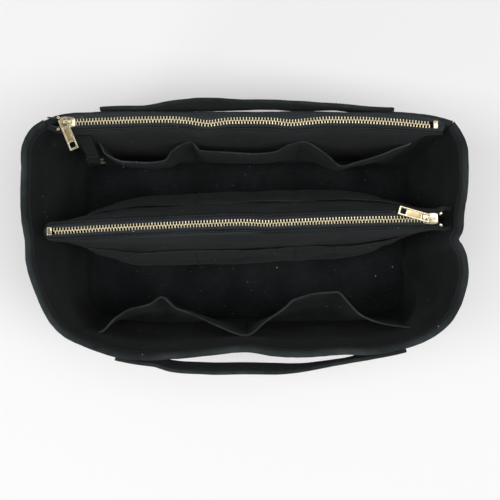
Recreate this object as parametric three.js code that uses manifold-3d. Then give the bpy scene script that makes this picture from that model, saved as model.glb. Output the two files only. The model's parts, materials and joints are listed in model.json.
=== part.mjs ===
// Purse organizer insert: an open cotton canvas tray with padded walls, a zipped pocket along the rear wall,
// a zipped pouch across the middle, slip pockets, two grab straps and a key strap with a swivel clasp.
// Millimetres. X runs to the right, Y to the rear and Z up. The origin is the centre of the base's underside.
import * as THREE from 'three';
import { mergeVertices } from 'three/addons/utils/BufferGeometryUtils.js';
import Module from 'manifold-3d';

const wasm = await Module();
wasm.setup();

// Body
const bodyHeight = 165;
const rearRimDrop = 2.5;
const baseLength = 302.4;
const baseWidth = 152.4;
const frontCornerRadius = 29;
const rearCornerRadius = 15;
const rimHalfLength = 171;
const rimHalfWidth = 98;
const flarePower = 1.6;

// Cloth, padding and board
const canvas = 0.9;
const clothGap = 0.3;
const seatGap = 0.5;
const paddingThickness = 2.6;
const boardThickness = 2.5;
const bindingDepth = 11;
const pinchHeight = 24;
const pinchMargin = 1;
const paddingTopShare = 0.6;
const cornerSeamGap = 0.6;

// Insets of the wall's layers from the outline that the rim binding's outer face follows
const outerInset = canvas + clothGap;
const paddingInset = outerInset + canvas + clothGap;
const liningInset = paddingInset + paddingThickness + seatGap;
const wallInset = liningInset + canvas;
const innerLegInset = paddingInset + canvas + clothGap;
const rimInset = innerLegInset + canvas;

// Zippers, both of the same brass chain
const toothPitch = 2.35;
const rowHalfWidth = 3;
const toothRoot = 2;
const toothReach = 0.9;
const rowHalfHeight = 1.3;
const tapeHalfThickness = 0.3;
const tapeHalfWidth = 6.5;
const tapeSeam = 1.2;
const runningGap = 0.3;
const sliderLength = 11.5;
const sliderPlate = 1;
const sliderFlange = 1;
const bridgeHalfLength = 3.6;
const bridgeLeg = 1.1;
const bridgeHeight = 2.6;
const bridgeTop = 1.1;
const bridgeHalfWidth = 1;
const stopLength = 2.4;
const stopInner = 1.2;
const stopHalfHeight = 1.9;
const boxStopLength = 3.6;
const chainHeightOverRim = 0.6;
const rearZipSliderInset = 30.3;
const rearZipSliderDepth = 8.8;
const rearZipEndInset = 27.8;
const rearZipEndDepth = 10.5;
const middleZipSliderInset = 23.7;
const middleZipSliderY = 16.2;
const middleZipEndInset = 23.4;
const middleZipEndY = 6.4;
const middleZipDrop = 2;
const tapeTail = 1.6;
const rearTapeFold = 0.6;
const rearTapeInset = 0.5;

// Pulls
const pullLength = 25;
const pullHalfWidth = 3.4;
const pullThickness = 1.6;
const pullBar = 1.3;
const pullSlot = 5;
const pullRail = 1.3;
const pullWindow = 4.2;
const pullWindowEdge = 1.6;
const rearPullAngle = -67.5;
const middlePullAngle = -16;
const middlePullLift = 3;

// Rear zip pocket and its three slip pockets
const rearPocketFloor = 22;
const rearPocketDepth = 9;
const slipMouthHeight = 124;
const slipFloor = 28;
const rearGape = 19;
const frontGape = 36;
const pocketEndMargin = 5;
const pocketEndRun = 14;

// Middle pouch
const pouchHalfWidth = 17;
const pouchFloor = 9;
const pouchBellyGape = 13;

// Grab straps
const strapWidth = 25;
const strapThickness = 3;
const strapTopDrop = 3;
const frontStrapBow = 10.5;
const rearStrapBow = 7.5;
const strapLeanShare = 0.45;
const strapSplitShare = 0.14;
const frontStrapInsets = [105, 77.6];
const frontStrapTabs = [33.8, 30.4];
const rearStrapInsets = [97, 89.3];
const rearStrapTabs = [37.5, 32.7];

// Key strap and swivel clasp
const keyStrapWidth = 10;
const keyStrapThickness = 1.5;
const keyStrapSideGap = 2.51;
const keyStrapTop = 150;
const keyStrapLength = 50;
const keyStrapLean = 13;
const loopRadius = 2.3;
const eyeWire = 1.1;
const eyeHalfWidth = 6.6;
const eyeHeight = 7;
const collarRadius = 2.6;
const collarHeight = 3.4;
const stemRadius = 1.1;
const stemGap = 0.4;
const headRadius = 2;
const headHeight = 1.2;
const hookWidth = 12;
const hookHeight = 22;
const hookBar = 2.6;
const hookHalfThickness = 2.1;
const hookTipRise = 5.2;
const hookBendRise = 6.2;
const cheekDrop = 7.3;
const cheekSlope = 3.9;
const gateSlotDrop = 2.9;
const gateSlotFoot = 10.4;
const pinDrop = 5.2;
const cheekThickness = 0.9;
const pinRadius = 0.6;
const pinGap = 0.1;
const gateThickness = 1.2;
const gateWidth = 1.8;
const springThickness = 0.6;

// Counts and small factors of the modelling itself
const rodSides = 12;
const pinSides = 10;
const collarSides = 16;
const loopSteps = 10;
const foldedTapeSteps = 14;
const mergeShare = 0.001;

// The rim seen from above, from the rear left seam round the front to the rear right seam,
// as shares of the rim's half length and half width. The notch on the right is the pouch's seam.
const wrapRimShares = [
  [-0.898, 0.923], [-0.944, 0.872], [-0.974, 0.806], [-0.993, 0.724], [-0.996, 0.561], [-1, 0.306],
  [-0.994, 0.143], [-0.982, 0], [-0.977, -0.173], [-0.956, -0.316], [-0.929, -0.439], [-0.898, -0.561],
  [-0.857, -0.673], [-0.804, -0.755], [-0.725, -0.821], [-0.632, -0.878], [-0.556, -0.913],
  [-0.456, -0.929], [-0.31, -0.923], [-0.175, -0.896], [0.012, -0.872], [0.117, -0.895], [0.263, -0.908],
  [0.444, -0.887], [0.55, -0.891], [0.643, -0.87], [0.725, -0.837], [0.801, -0.789], [0.865, -0.724],
  [0.918, -0.64], [0.956, -0.531], [0.98, -0.418], [0.996, -0.224], [0.985, -0.112], [0.971, -0.056],
  [0.951, 0], [0.966, 0.061], [0.973, 0.204], [0.991, 0.388], [0.996, 0.592], [0.988, 0.745],
  [0.965, 0.837], [0.933, 0.918],
];
// The rear wall's rim, from the rear right seam to the rear left one.
const rearRimShares = [
  [0.933, 0.918], [0.871, 0.949], [0.807, 0.969], [0.708, 0.987], [0.585, 0.996], [0.292, 1], [0, 1],
  [-0.292, 1], [-0.632, 0.999], [-0.702, 0.988], [-0.789, 0.98], [-0.854, 0.957], [-0.898, 0.923],
];
// How far each slip pocket stands open: place along X, then gape. The rear places are shares of the rim's
// half length and the front ones of the base's.
const rearGapeShares = [
  [-0.69, 0], [-0.66, 0.5], [-0.567, 0.86], [-0.45, 0.92], [-0.377, 0.8], [-0.345, 0.42], [-0.257, 0],
  [-0.21, 0.36], [-0.08, 0.47], [0.023, 0.52], [0.14, 0.42], [0.21, 0.12], [0.27, 0],
  [0.374, 0.48], [0.46, 1], [0.538, 0.82], [0.632, 0.55], [0.725, 0.18], [0.78, 0],
];
const frontGapeShares = [
  [-0.78, 0], [-0.694, 0.4], [-0.615, 0.68], [-0.509, 0.83], [-0.45, 0.98], [-0.37, 0.72],
  [-0.291, 0.6], [-0.158, 0.3], [0.006, 0], [0.113, 0.36], [0.211, 0.68], [0.265, 0.88], [0.397, 1],
  [0.493, 1], [0.549, 0.78], [0.608, 0.52], [0.708, 0.28], [0.82, 0.1], [0.882, 0],
];
// Places along the pouch as shares of its length, then how far the pouch fills out there.
const pouchFillShares = [
  [0, 0.15], [0.045, 0.42], [0.13, 0.72], [0.26, 0.93], [0.37, 0.98], [0.5, 1], [0.64, 0.97],
  [0.76, 0.9], [0.87, 0.7], [0.955, 0.4], [1, 0.15],
];
// The pouch's slip pockets along it: place as a share of its length, then gape.
const pouchGapeShares = [
  [0.1, 0], [0.16, 0.75], [0.24, 1], [0.32, 0.75], [0.375, 0], [0.43, 0.75], [0.505, 1], [0.58, 0.75],
  [0.635, 0], [0.69, 0.75], [0.77, 1], [0.85, 0.75], [0.9, 0],
];
// Height between a slip pocket's floor and mouth as a share, then how open the pocket is there.
const slipDropShares = [[0, 0], [0.25, 0.42], [0.55, 0.78], [0.8, 0.94], [1, 1]];
const pouchDropShares = [[0, 0], [0.27, 0.7], [0.52, 1], [0.8, 0.78], [1, 0.5]];
// Height of the pouch from floor to zipper as a share, then half width.
const pouchTopFillShare = 0.8;
const pouchSideShares = [[0, 0], [0.05, 0.55], [0.2, 0.85], [0.45, 1], [0.7, 1], [0.88, 0.68], [1, 0.33]];
// Height of the rear pocket from floor to zipper as a share, then depth.
const rearPocketShares = [[0, 0.06], [0.13, 0.45], [0.35, 0.75], [0.7, 0.88], [1, 1]];
// Place along a strap's free part as a share, then how far it bows out.
const strapBowShares = [
  [0, 0], [0.05, 0.2], [0.14, 0.62], [0.24, 0.88], [0.36, 1], [0.5, 1], [0.64, 0.98], [0.76, 0.88],
  [0.86, 0.62], [0.95, 0.2], [1, 0],
];
const wallHeightShares = [0, 0.1, 0.3, 0.56];

// Value of a table of [place, value] pairs at a place, by straight lines between its rows.
function tableAt(table, place) {
  const last = table.length - 1;
  if (place <= table[0][0]) return table[0][1];
  if (place >= table[last][0]) return table[last][1];
  const row = table.findIndex((pair) => pair[0] > place);
  const [from, to] = [table[row - 1], table[row]];
  return THREE.MathUtils.mapLinear(place, from[0], to[0], from[1], to[1]);
}

function geometryOf(positions, triangles) {
  const geometry = new THREE.BufferGeometry();
  const corner = (index) => new THREE.Vector3().fromArray(positions, index * 3);
  let volume = 0;
  for (const [a, b, c] of triangles) volume += corner(a).dot(corner(b).cross(corner(c)));
  const facing = volume < 0 ? triangles.map(([a, b, c]) => [a, c, b]) : triangles;
  geometry.setAttribute('position', new THREE.Float32BufferAttribute(positions, 3));
  geometry.setIndex(facing.flat());
  geometry.computeVertexNormals();
  return geometry;
}

// A closed profile of [a, b] pairs carried along stations 0 to stations: place(station, a, b) gives [x, y, z].
// The profile runs out along one face and back along the other, with as many points on each.
// Each face is split from its low near corner to its high far one, so that stacked layers bend alike.
function sweep(profile, stations, place) {
  const positions = [];
  for (let station = 0; station <= stations; station += 1) {
    for (const [a, b] of profile) positions.push(...place(station, a, b));
  }
  const count = profile.length;
  const triangles = [];
  for (let station = 0; station < stations; station += 1) {
    for (let side = 0; side < count; side += 1) {
      const here = station * count + side;
      const next = station * count + (side + 1) % count;
      const climbs = profile[(side + 1) % count][1] >= profile[side][1];
      if (climbs) triangles.push([here, here + count, next + count], [here, next + count, next]);
      else triangles.push([here, here + count, next], [next, here + count, next + count]);
    }
  }
  const end = stations * count;
  for (let low = 0; low < count / 2 - 1; low += 1) {
    const high = count - 1 - low;
    for (const [a, b, c] of [[low, low + 1, high - 1], [low, high - 1, high]]) {
      triangles.push([a, b, c], [end + c, end + b, end + a]);
    }
  }
  return geometryOf(positions, triangles);
}

// The profile of a cloth between two faces, given at rising levels.
function sheetProfile(levels) {
  const front = levels.map((level) => [0, level]);
  const back = levels.map((level) => [1, level]).reverse();
  return [...front, ...back];
}

function shapeOf(points) {
  return new THREE.Shape(points.map(([x, y]) => new THREE.Vector2(x, y)));
}

function plate(points, thickness, holes = []) {
  const shape = shapeOf(points);
  for (const hole of holes) shape.holes.push(new THREE.Path(hole.map(([x, y]) => new THREE.Vector2(x, y))));
  return new THREE.ExtrudeGeometry(shape, { depth: thickness, bevelEnabled: false });
}

function block(low, high) {
  const geometry = new THREE.BoxGeometry(high[0] - low[0], high[1] - low[1], high[2] - low[2]);
  return geometry.translate((low[0] + high[0]) / 2, (low[1] + high[1]) / 2, (low[2] + high[2]) / 2);
}

function rod(radius, from, to, sides = rodSides) {
  const along = new THREE.Vector3().subVectors(to, from);
  const geometry = new THREE.CylinderGeometry(radius, radius, along.length(), sides);
  geometry.translate(0, along.length() / 2, 0);
  const turn = new THREE.Quaternion().setFromUnitVectors(new THREE.Vector3(0, 1, 0), along.normalize());
  return geometry.applyQuaternion(turn).translate(from.x, from.y, from.z);
}

function solidOf(geometry) {
  const bare = geometry.index ? geometry.toNonIndexed() : geometry.clone();
  bare.deleteAttribute('normal');
  bare.deleteAttribute('uv');
  const merged = mergeVertices(bare, canvas * mergeShare);
  return new wasm.Manifold(new wasm.Mesh({
    numProp: 3,
    vertProperties: merged.attributes.position.array,
    triVerts: new Uint32Array(merged.index.array),
  }));
}

function joined(geometries, cuts = []) {
  let solid = solidOf(geometries[0]);
  for (const geometry of geometries.slice(1)) solid = solid.add(solidOf(geometry));
  for (const geometry of cuts) solid = solid.subtract(solidOf(geometry));
  const mesh = solid.getMesh();
  const result = new THREE.BufferGeometry();
  result.setAttribute('position', new THREE.BufferAttribute(mesh.vertProperties, 3));
  result.setIndex(new THREE.BufferAttribute(mesh.triVerts, 1));
  result.computeVertexNormals();
  return result;
}

const materials = {
  canvas: { color: 0x232626, roughness: 0.92, metalness: 0 },
  lining: { color: 0x1c1f1f, roughness: 0.95, metalness: 0 },
  padding: { color: 0xd8d6d0, roughness: 1, metalness: 0 },
  board: { color: 0x8a8478, roughness: 0.9, metalness: 0 },
  tape: { color: 0x3c464b, roughness: 0.85, metalness: 0 },
  webbing: { color: 0x202323, roughness: 0.9, metalness: 0 },
  brass: { color: 0xd7c891, roughness: 0.3, metalness: 1 },
  steel: { color: 0xb8b8b4, roughness: 0.35, metalness: 1 },
};

const organizer = new THREE.Group();

function piece(name, geometry, finish, parent = organizer) {
  const mesh = new THREE.Mesh(geometry, new THREE.MeshStandardMaterial(materials[finish]));
  mesh.name = name;
  parent.add(mesh);
  return mesh;
}

// Outline of the body
function basePaths() {
  const halfLength = baseLength / 2;
  const halfWidth = baseWidth / 2;
  const quarter = Math.PI / 2;
  const rearX = halfLength - rearCornerRadius;
  const rearY = halfWidth - rearCornerRadius;
  const frontX = halfLength - frontCornerRadius;
  const frontY = halfWidth - frontCornerRadius;
  const wrap = new THREE.Path();
  wrap.absarc(-rearX, rearY, rearCornerRadius, quarter * 1.5, quarter * 2);
  wrap.absarc(-frontX, -frontY, frontCornerRadius, quarter * 2, quarter * 3);
  wrap.absarc(frontX, -frontY, frontCornerRadius, quarter * 3, quarter * 4);
  wrap.absarc(rearX, rearY, rearCornerRadius, 0, quarter / 2);
  const rear = new THREE.Path();
  rear.absarc(rearX, rearY, rearCornerRadius, quarter / 2, quarter);
  rear.absarc(-rearX, rearY, rearCornerRadius, quarter, quarter * 1.5);
  return { wrap, rear };
}

function rimPoints(shares) {
  return shares.map(([x, y]) => new THREE.Vector2(x * rimHalfLength, y * rimHalfWidth));
}

// The base point under each rim point lies at the same share of the way along its own outline.
function basePoints(rim, path) {
  const reached = [0];
  for (let i = 1; i < rim.length; i += 1) reached.push(reached[i - 1] + rim[i].distanceTo(rim[i - 1]));
  return reached.map((length) => path.getPoint(length / reached[rim.length - 1]));
}

const wrapRim = rimPoints(wrapRimShares);
const rearRim = rimPoints(rearRimShares);
const paths = basePaths();
const rimLoop = [...wrapRim, ...rearRim.slice(1, -1)];
const baseLoop = [...basePoints(wrapRim, paths.wrap), ...basePoints(rearRim, paths.rear).slice(1, -1)];
const wrapCount = wrapRim.length - 1;
const rearCount = rearRim.length - 1;
const skins = new Map();

// The body's outline at a height: its points, and at each the direction along it.
function skinAt(z) {
  if (!skins.has(z)) {
    const share = Math.min(Math.max(z / bodyHeight, 0), 1);
    const flare = 1 - (1 - share) ** flarePower;
    const points = baseLoop.map((point, i) => point.clone().lerp(rimLoop[i], flare));
    const along = points.map((point, i) => {
      const before = points[(i + points.length - 1) % points.length];
      const after = points[(i + 1) % points.length];
      const into = point.clone().sub(before).normalize();
      return into.add(after.clone().sub(point).normalize()).normalize();
    });
    skins.set(z, { points, along });
  }
  return skins.get(z);
}

// A point of the wall, so far in from the outline, and moved along it at a seam.
function wallPoint(index, z, inset, shift = 0) {
  const skin = skinAt(z);
  const i = index % skin.points.length;
  const { x, y } = skin.along[i];
  return [skin.points[i].x - y * inset + x * shift, skin.points[i].y + x * inset + y * shift, z];
}

// Distance from a point inside the body to the wall's face at an inset, in the direction (dx, dy).
function reachWall(x, y, dx, dy, z, inset) {
  let nearest = Infinity;
  const count = skinAt(z).points.length;
  for (let i = 0; i < count; i += 1) {
    const [ax, ay] = wallPoint(i, z, inset);
    const [bx, by] = wallPoint(i + 1, z, inset);
    const across = dx * (by - ay) - dy * (bx - ax);
    const along = ((ax - x) * (by - ay) - (ay - y) * (bx - ax)) / across;
    const share = ((ax - x) * dy - (ay - y) * dx) / across;
    if (share >= 0 && share <= 1 && along > 0 && along < nearest) nearest = along;
  }
  return nearest;
}
const rearFace = (x, z, inset) => reachWall(x, 0, 0, 1, z, inset);
const frontFace = (x, z, inset) => -reachWall(x, 0, 0, -1, z, inset);
const leftFace = (y, z, inset) => -reachWall(0, y, -1, 0, z, inset);
const rightFace = (y, z, inset) => reachWall(0, y, 1, 0, z, inset);

// Walls
const wallFoot = canvas + clothGap;
const layers = {
  outer: { near: () => outerInset, far: () => outerInset + canvas, finish: 'canvas' },
  padding: { near: () => paddingInset, far: (z, top) => liningNear(z, top) - seatGap, finish: 'padding' },
  lining: { near: liningNear, far: (z, top) => liningNear(z, top) + canvas, finish: 'lining' },
};

// The lining draws in to the outer canvas above the padding, where the rim is bound.
function liningNear(z, top) {
  const pinchEnd = top - bindingDepth - pinchMargin;
  const share = THREE.MathUtils.clamp((pinchEnd - z) / pinchHeight, 0, 1);
  return paddingInset + (liningInset - paddingInset) * share;
}

function wallHeights(layer, top) {
  const pinchEnd = top - bindingDepth - pinchMargin;
  const pinchStart = pinchEnd - pinchHeight;
  const low = wallHeightShares.map((share) => wallFoot + (pinchStart - wallFoot) * share);
  if (layer === 'padding') return [...low, pinchStart, pinchStart + pinchHeight * paddingTopShare];
  return [...low, pinchStart, pinchEnd, top - canvas - clothGap];
}

function wall(name, layer, first, count, top) {
  const { near, far, finish } = layers[layer];
  const heights = wallHeights(layer, top);
  const profile = [
    ...heights.map((z) => [near(z, top), z]),
    ...heights.map((z) => [far(z, top), z]).reverse(),
  ];
  piece(name, sweep(profile, count, seamed(first, count)), finish);
}

// Walls that start after the wrap leave the seam's gap at both of their ends.
function seamed(first, count) {
  return (station, inset, z) => {
    const ends = { 0: cornerSeamGap, [count]: -cornerSeamGap };
    return wallPoint(first + station, z, inset, first > 0 ? ends[station] ?? 0 : 0);
  };
}

function binding(name, first, count, top) {
  const foot = top - bindingDepth;
  const profile = [
    [0, foot], [0, top], [rimInset, top], [rimInset, foot],
    [innerLegInset, foot], [innerLegInset, top - canvas], [canvas, top - canvas], [canvas, foot],
  ];
  piece(name, sweep(profile, count, seamed(first, count)), 'canvas');
}

const rearTop = bodyHeight - rearRimDrop;
wall('outer_wrap', 'outer', 0, wrapCount, bodyHeight);
wall('padding_wrap', 'padding', 0, wrapCount, bodyHeight);
wall('lining_wrap', 'lining', 0, wrapCount, bodyHeight);
binding('rim_binding', 0, wrapCount, bodyHeight);
wall('outer_rear', 'outer', wrapCount, rearCount, rearTop);
wall('padding_rear', 'padding', wrapCount, rearCount, rearTop);
wall('lining_rear', 'lining', wrapCount, rearCount, rearTop);
binding('rear_rim_binding', wrapCount, rearCount, rearTop);

// Base: canvas, stiff board and lining, each cut to the body's outline
function floorPanel(name, low, thickness, inset, finish) {
  const points = skinAt(low).points.map((point, i) => wallPoint(i, low, inset));
  piece(name, plate(points, thickness), finish).position.z = low;
}
const boardLow = wallFoot;
const floorLow = boardLow + boardThickness + clothGap;
floorPanel('base_outer', 0, canvas, outerInset, 'canvas');
floorPanel('base_board', boardLow, boardThickness, wallInset + seatGap, 'board');
floorPanel('base_lining', floorLow, canvas, wallInset + seatGap, 'lining');

// Zippers. Each has its own frame: X along the closed chain from the slider's end, Z up from the tapes' middle.
function zipFrame(start, end, height) {
  const frame = new THREE.Group();
  frame.position.set(start[0], start[1], height);
  frame.rotation.z = Math.atan2(end[1] - start[1], end[0] - start[0]);
  organizer.add(frame);
  const length = Math.hypot(end[0] - start[0], end[1] - start[1]);
  const slope = (end[1] - start[1]) / (end[0] - start[0]);
  const lineY = (x) => start[1] + (x - start[0]) * slope;
  return { frame, length, height, lineY };
}

// One row of wedge teeth on its bead. The other row is half a pitch along and turned over.
function toothRow(length, side) {
  const offset = side > 0 ? 0 : 1 / 2;
  const points = [[0, rowHalfWidth * side], [0, toothRoot * side]];
  if (offset > 0) points.push([offset * toothPitch, toothRoot * side]);
  const count = Math.floor(length / toothPitch - offset);
  for (let i = 0; i < count; i += 1) {
    const foot = (i + offset) * toothPitch;
    points.push([foot + toothPitch / 2, -toothReach * side]);
    points.push([foot + toothPitch, toothRoot * side]);
  }
  points.push([length, toothRoot * side], [length, rowHalfWidth * side]);
  return plate(points, rowHalfHeight * 2).translate(0, 0, -rowHalfHeight);
}

const sliderInnerHalfWidth = rowHalfWidth + runningGap;
const sliderInnerHeight = rowHalfHeight + runningGap;
const sliderOuterHalfWidth = sliderInnerHalfWidth + sliderFlange;
const flangeFoot = tapeHalfThickness + runningGap;
const plateTop = sliderInnerHeight + sliderPlate;

function sliderChannel() {
  const profile = [
    [-sliderOuterHalfWidth, flangeFoot], [-sliderOuterHalfWidth, plateTop], [sliderOuterHalfWidth, plateTop],
    [sliderOuterHalfWidth, flangeFoot], [sliderInnerHalfWidth, flangeFoot],
    [sliderInnerHalfWidth, sliderInnerHeight], [-sliderInnerHalfWidth, sliderInnerHeight],
    [-sliderInnerHalfWidth, flangeFoot],
  ];
  return sweep(profile, 1, (station, y, z) => [sliderLength * (station - 1 / 2), y, z]);
}

function sliderBody() {
  const sunk = plateTop - sliderPlate / 2;
  const bridgeRoof = plateTop + bridgeHeight;
  const arch = [
    [-bridgeHalfLength, sunk], [-bridgeHalfLength, bridgeRoof + bridgeTop],
    [bridgeHalfLength, bridgeRoof + bridgeTop], [bridgeHalfLength, sunk],
    [bridgeHalfLength - bridgeLeg, sunk], [bridgeHalfLength - bridgeLeg, bridgeRoof],
    [bridgeLeg - bridgeHalfLength, bridgeRoof], [bridgeLeg - bridgeHalfLength, sunk],
  ];
  const bridge = sweep(arch, 1, (station, x, z) => [x, bridgeHalfWidth * (station * 2 - 1), z]);
  return joined([sliderChannel(), bridge]);
}

function pullTab() {
  const half = pullBar / 2;
  const outline = [
    [-half, -pullHalfWidth], [pullLength - half, -pullHalfWidth], [pullLength - half, pullHalfWidth],
    [-half, pullHalfWidth],
  ];
  const slotHalf = pullHalfWidth - pullRail;
  const slot = [[half, -slotHalf], [half + pullSlot, -slotHalf], [half + pullSlot, slotHalf], [half, slotHalf]];
  const windowHalf = pullWindow / 2;
  const windowEnd = pullLength - half - pullWindowEdge;
  const windowStart = windowEnd - pullWindow;
  const window = [
    [windowStart, -windowHalf], [windowEnd, -windowHalf], [windowEnd, windowHalf], [windowStart, windowHalf],
  ];
  return plate(outline, pullThickness, [slot, window]).translate(0, 0, -pullThickness / 2);
}

function zipper(name, zip, farSide, nearSide) {
  const { frame, length } = zip;
  piece(`${name}_${farSide}_teeth`, toothRow(length, 1), 'brass', frame);
  piece(`${name}_${nearSide}_teeth`, toothRow(length, -1), 'brass', frame);
  const stopLow = length + clothGap;
  piece(`${name}_box_stop`, block(
    [stopLow, -rowHalfWidth, -stopHalfHeight],
    [stopLow + boxStopLength, rowHalfWidth, stopHalfHeight],
  ), 'brass', frame);
  for (const [side, sign] of [[farSide, 1], [nearSide, -1]]) {
    const edges = [stopInner * sign, rowHalfWidth * sign].sort((a, b) => a - b);
    piece(`${name}_${side}_top_stop`, block(
      [-clothGap - stopLength, edges[0], -stopHalfHeight],
      [-clothGap, edges[1], stopHalfHeight],
    ), 'brass', frame);
  }
  const slider = new THREE.Group();
  slider.position.x = sliderLength / 2;
  frame.add(slider);
  piece(`${name}_slider`, sliderBody(), 'brass', slider);
  piece(`${name}_slider_lower_plate`, sliderChannel().rotateX(Math.PI), 'brass', slider);
  return slider;
}

const rearZipStart = [rearZipSliderInset - rimHalfLength, rimHalfWidth - rearZipSliderDepth];
const rearZipEnd = [rimHalfLength - rearZipEndInset, rimHalfWidth - rearZipEndDepth];
const rearZip = zipFrame(rearZipStart, rearZipEnd, bodyHeight + chainHeightOverRim);
const rearSlider = zipper('rear_zip', rearZip, 'rear', 'front');
const middleZipStart = [rimHalfLength - middleZipSliderInset, middleZipSliderY];
const middleZipEnd = [middleZipEndInset - rimHalfLength, middleZipEndY];
const middleZip = zipFrame(middleZipStart, middleZipEnd, bodyHeight - middleZipDrop);
const middleSlider = zipper('middle_zip', middleZip, 'front', 'rear');

// The rear pull hangs round the bridge's outer leg and swivels there.
const pullRest = plateTop + runningGap + pullThickness / 2;
const legX = bridgeLeg / 2 - bridgeHalfLength;
const legInSlot = pullBar / 2 + runningGap + Math.max(bridgeLeg, bridgeHalfWidth * 2) / 2;
const rearPull = piece('rear_zip_pull', pullTab().translate(-legInSlot, 0, 0), 'brass', rearSlider);
rearPull.position.set(legX, 0, pullRest);
rearPull.rotation.z = THREE.MathUtils.degToRad(rearPullAngle) - rearZip.frame.rotation.z;

// The middle pull lies back over the chain and turns up on its bar inside the bridge.
const middlePull = piece('middle_zip_pull', pullTab(), 'brass', middleSlider);
middlePull.position.set(legX + bridgeLeg / 2 + runningGap + pullBar / 2 + runningGap, 0, pullRest);
middlePull.position.x *= -1;
middlePull.rotation.order = 'ZYX';
middlePull.rotation.z = THREE.MathUtils.degToRad(middlePullAngle) - middleZip.frame.rotation.z + Math.PI;
middlePull.rotation.y = -THREE.MathUtils.degToRad(middlePullLift);

// Tapes
function tapePoint(zip, x, across, up) {
  const turn = zip.frame.rotation.z + (Math.cos(zip.frame.rotation.z) < 0 ? Math.PI : 0);
  return [x - Math.sin(turn) * across, zip.lineY(x) + Math.cos(turn) * across, zip.height + up];
}

function flatTape(name, zip, side, left, right) {
  const inner = (rowHalfWidth + clothGap) * side;
  const outer = tapeHalfWidth * side;
  const profile = [
    [inner, -tapeHalfThickness], [outer, -tapeHalfThickness], [outer, tapeHalfThickness],
    [inner, tapeHalfThickness],
  ];
  const ends = [left, right];
  piece(name, sweep(profile, 1, (station, across, up) => tapePoint(zip, ends[station], across, up)), 'tape');
}
const middleLeft = leftFace(middleZipEnd[1], middleZip.height, rimInset + clothGap + seatGap);
const middleRight = Math.min(...[-1, 0, 1].map((side) => rightFace(
  middleZipStart[1] + side * tapeHalfWidth, middleZip.height, rimInset + clothGap + seatGap,
)));
flatTape('middle_zip_front_tape', middleZip, -1, middleLeft, middleRight);
flatTape('middle_zip_rear_tape', middleZip, 1, middleLeft, middleRight);

// The rear zipper's tapes run on past its stops. Its rear tape turns down onto the rear rim.
const rearLeft = rearZipStart[0] - stopLength - tapeTail;
const rearRight = rearZipEnd[0] + boxStopLength + tapeTail;
flatTape('rear_zip_front_tape', rearZip, -1, rearLeft, rearRight);

function foldedTape(name) {
  const inner = rowHalfWidth + clothGap;
  const foot = rearTop + clothGap;
  const low = rearZip.height - tapeHalfThickness;
  const high = rearZip.height + tapeHalfThickness;
  const profile = [[0, low], [1, low], [1, foot], [2, foot], [2, high], [0, high]];
  piece(name, sweep(profile, foldedTapeSteps, (station, across, z) => {
    const x = rearLeft + (rearRight - rearLeft) * station / foldedTapeSteps;
    const chain = rearZip.lineY(x) + inner;
    const edge = rearFace(x, rearTop, rearTapeInset);
    const fold = Math.max(edge - rearTapeFold, chain + sliderFlange + runningGap);
    return [x, [chain, fold, Math.max(edge, fold + rearTapeFold)][across], z];
  }), 'tape');
}
foldedTape('rear_zip_rear_tape');

// Rear zip pocket's panel: it hangs from the front tape and lies against the rear lining at its ends and floor.
const panelSeam = tapeHalfWidth - tapeSeam / 2;
const rearPanelTop = rearZip.height - tapeHalfThickness - clothGap;

function pocketEnd(z) {
  const inner = Math.min(-leftFace(0, z, wallInset), rightFace(0, z, wallInset));
  return Math.min(inner - pocketEndMargin * 2, -rearLeft, rearRight);
}

function rearPanelFace(x, z) {
  const share = (z - rearPocketFloor) / (rearPanelTop - rearPocketFloor);
  const back = rearFace(x, Math.min(z, rearTop), wallInset + seatGap) - canvas;
  const endShare = THREE.MathUtils.clamp((pocketEnd(z) - Math.abs(x)) / pocketEndRun, 0, 1);
  const lower = back - rearPocketDepth * tableAt(rearPocketShares, share) * endShare;
  const hung = rearZip.lineY(x) - panelSeam - canvas / 2;
  const risen = THREE.MathUtils.smoothstep(z, slipMouthHeight, rearPanelTop);
  return Math.min(back, THREE.MathUtils.lerp(lower, hung, risen));
}

// Cloth between two faces along X, with a station for each place and a level for each height.
function hungCloth(name, places, levels, placeAt, face, side) {
  piece(name, sweep(sheetProfile(levels), places.length - 1, (station, back, z) => {
    const x = placeAt(places[station], z);
    return [x, face(x, z, places[station]) + canvas * side * back, z];
  }), 'lining');
}

const panelLevels = [rearPocketFloor, slipFloor, ...[1, 2, 3].map(slipLevel), slipMouthHeight];
function slipLevel(step) {
  return THREE.MathUtils.lerp(slipFloor, slipMouthHeight, slipDropShares[step][0]);
}
const rearScale = rimHalfLength / pocketEnd(slipMouthHeight);
const rearPlaces = [-1, ...rearGapeShares.map(([share]) => share * rearScale), 1];
const upperLevel = (rearPanelTop + slipMouthHeight) / 2;
const atPocket = (place, z) => place * pocketEnd(z);
const rearLevels = [...panelLevels, upperLevel, rearPanelTop];
hungCloth('rear_zip_pocket_panel', rearPlaces, rearLevels, atPocket, rearPanelFace, 1);

// Slip pockets: cloth sewn down between the pockets and along the floor, and standing open at its mouth.
const slipLevels = [slipFloor, ...[1, 2, 3].map(slipLevel), slipMouthHeight];
function slipGape(table, full, share, z) {
  const drop = tableAt(slipDropShares, (z - slipFloor) / (slipMouthHeight - slipFloor));
  return clothGap + canvas + full * tableAt(table, share) * drop;
}
const atBase = (place) => place * baseLength / 2;
hungCloth('rear_slip_pockets', rearPlaces.slice(1, -1), slipLevels, atPocket, (x, z, place) => (
  rearPanelFace(x, z) - slipGape(rearGapeShares, rearGape, place / rearScale, z)), 1);
hungCloth('front_slip_pockets', frontGapeShares.map(([share]) => share), slipLevels, atBase, (x, z, place) => (
  frontFace(x, z, wallInset + seatGap) + slipGape(frontGapeShares, frontGape, place, z)), -1);

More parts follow.
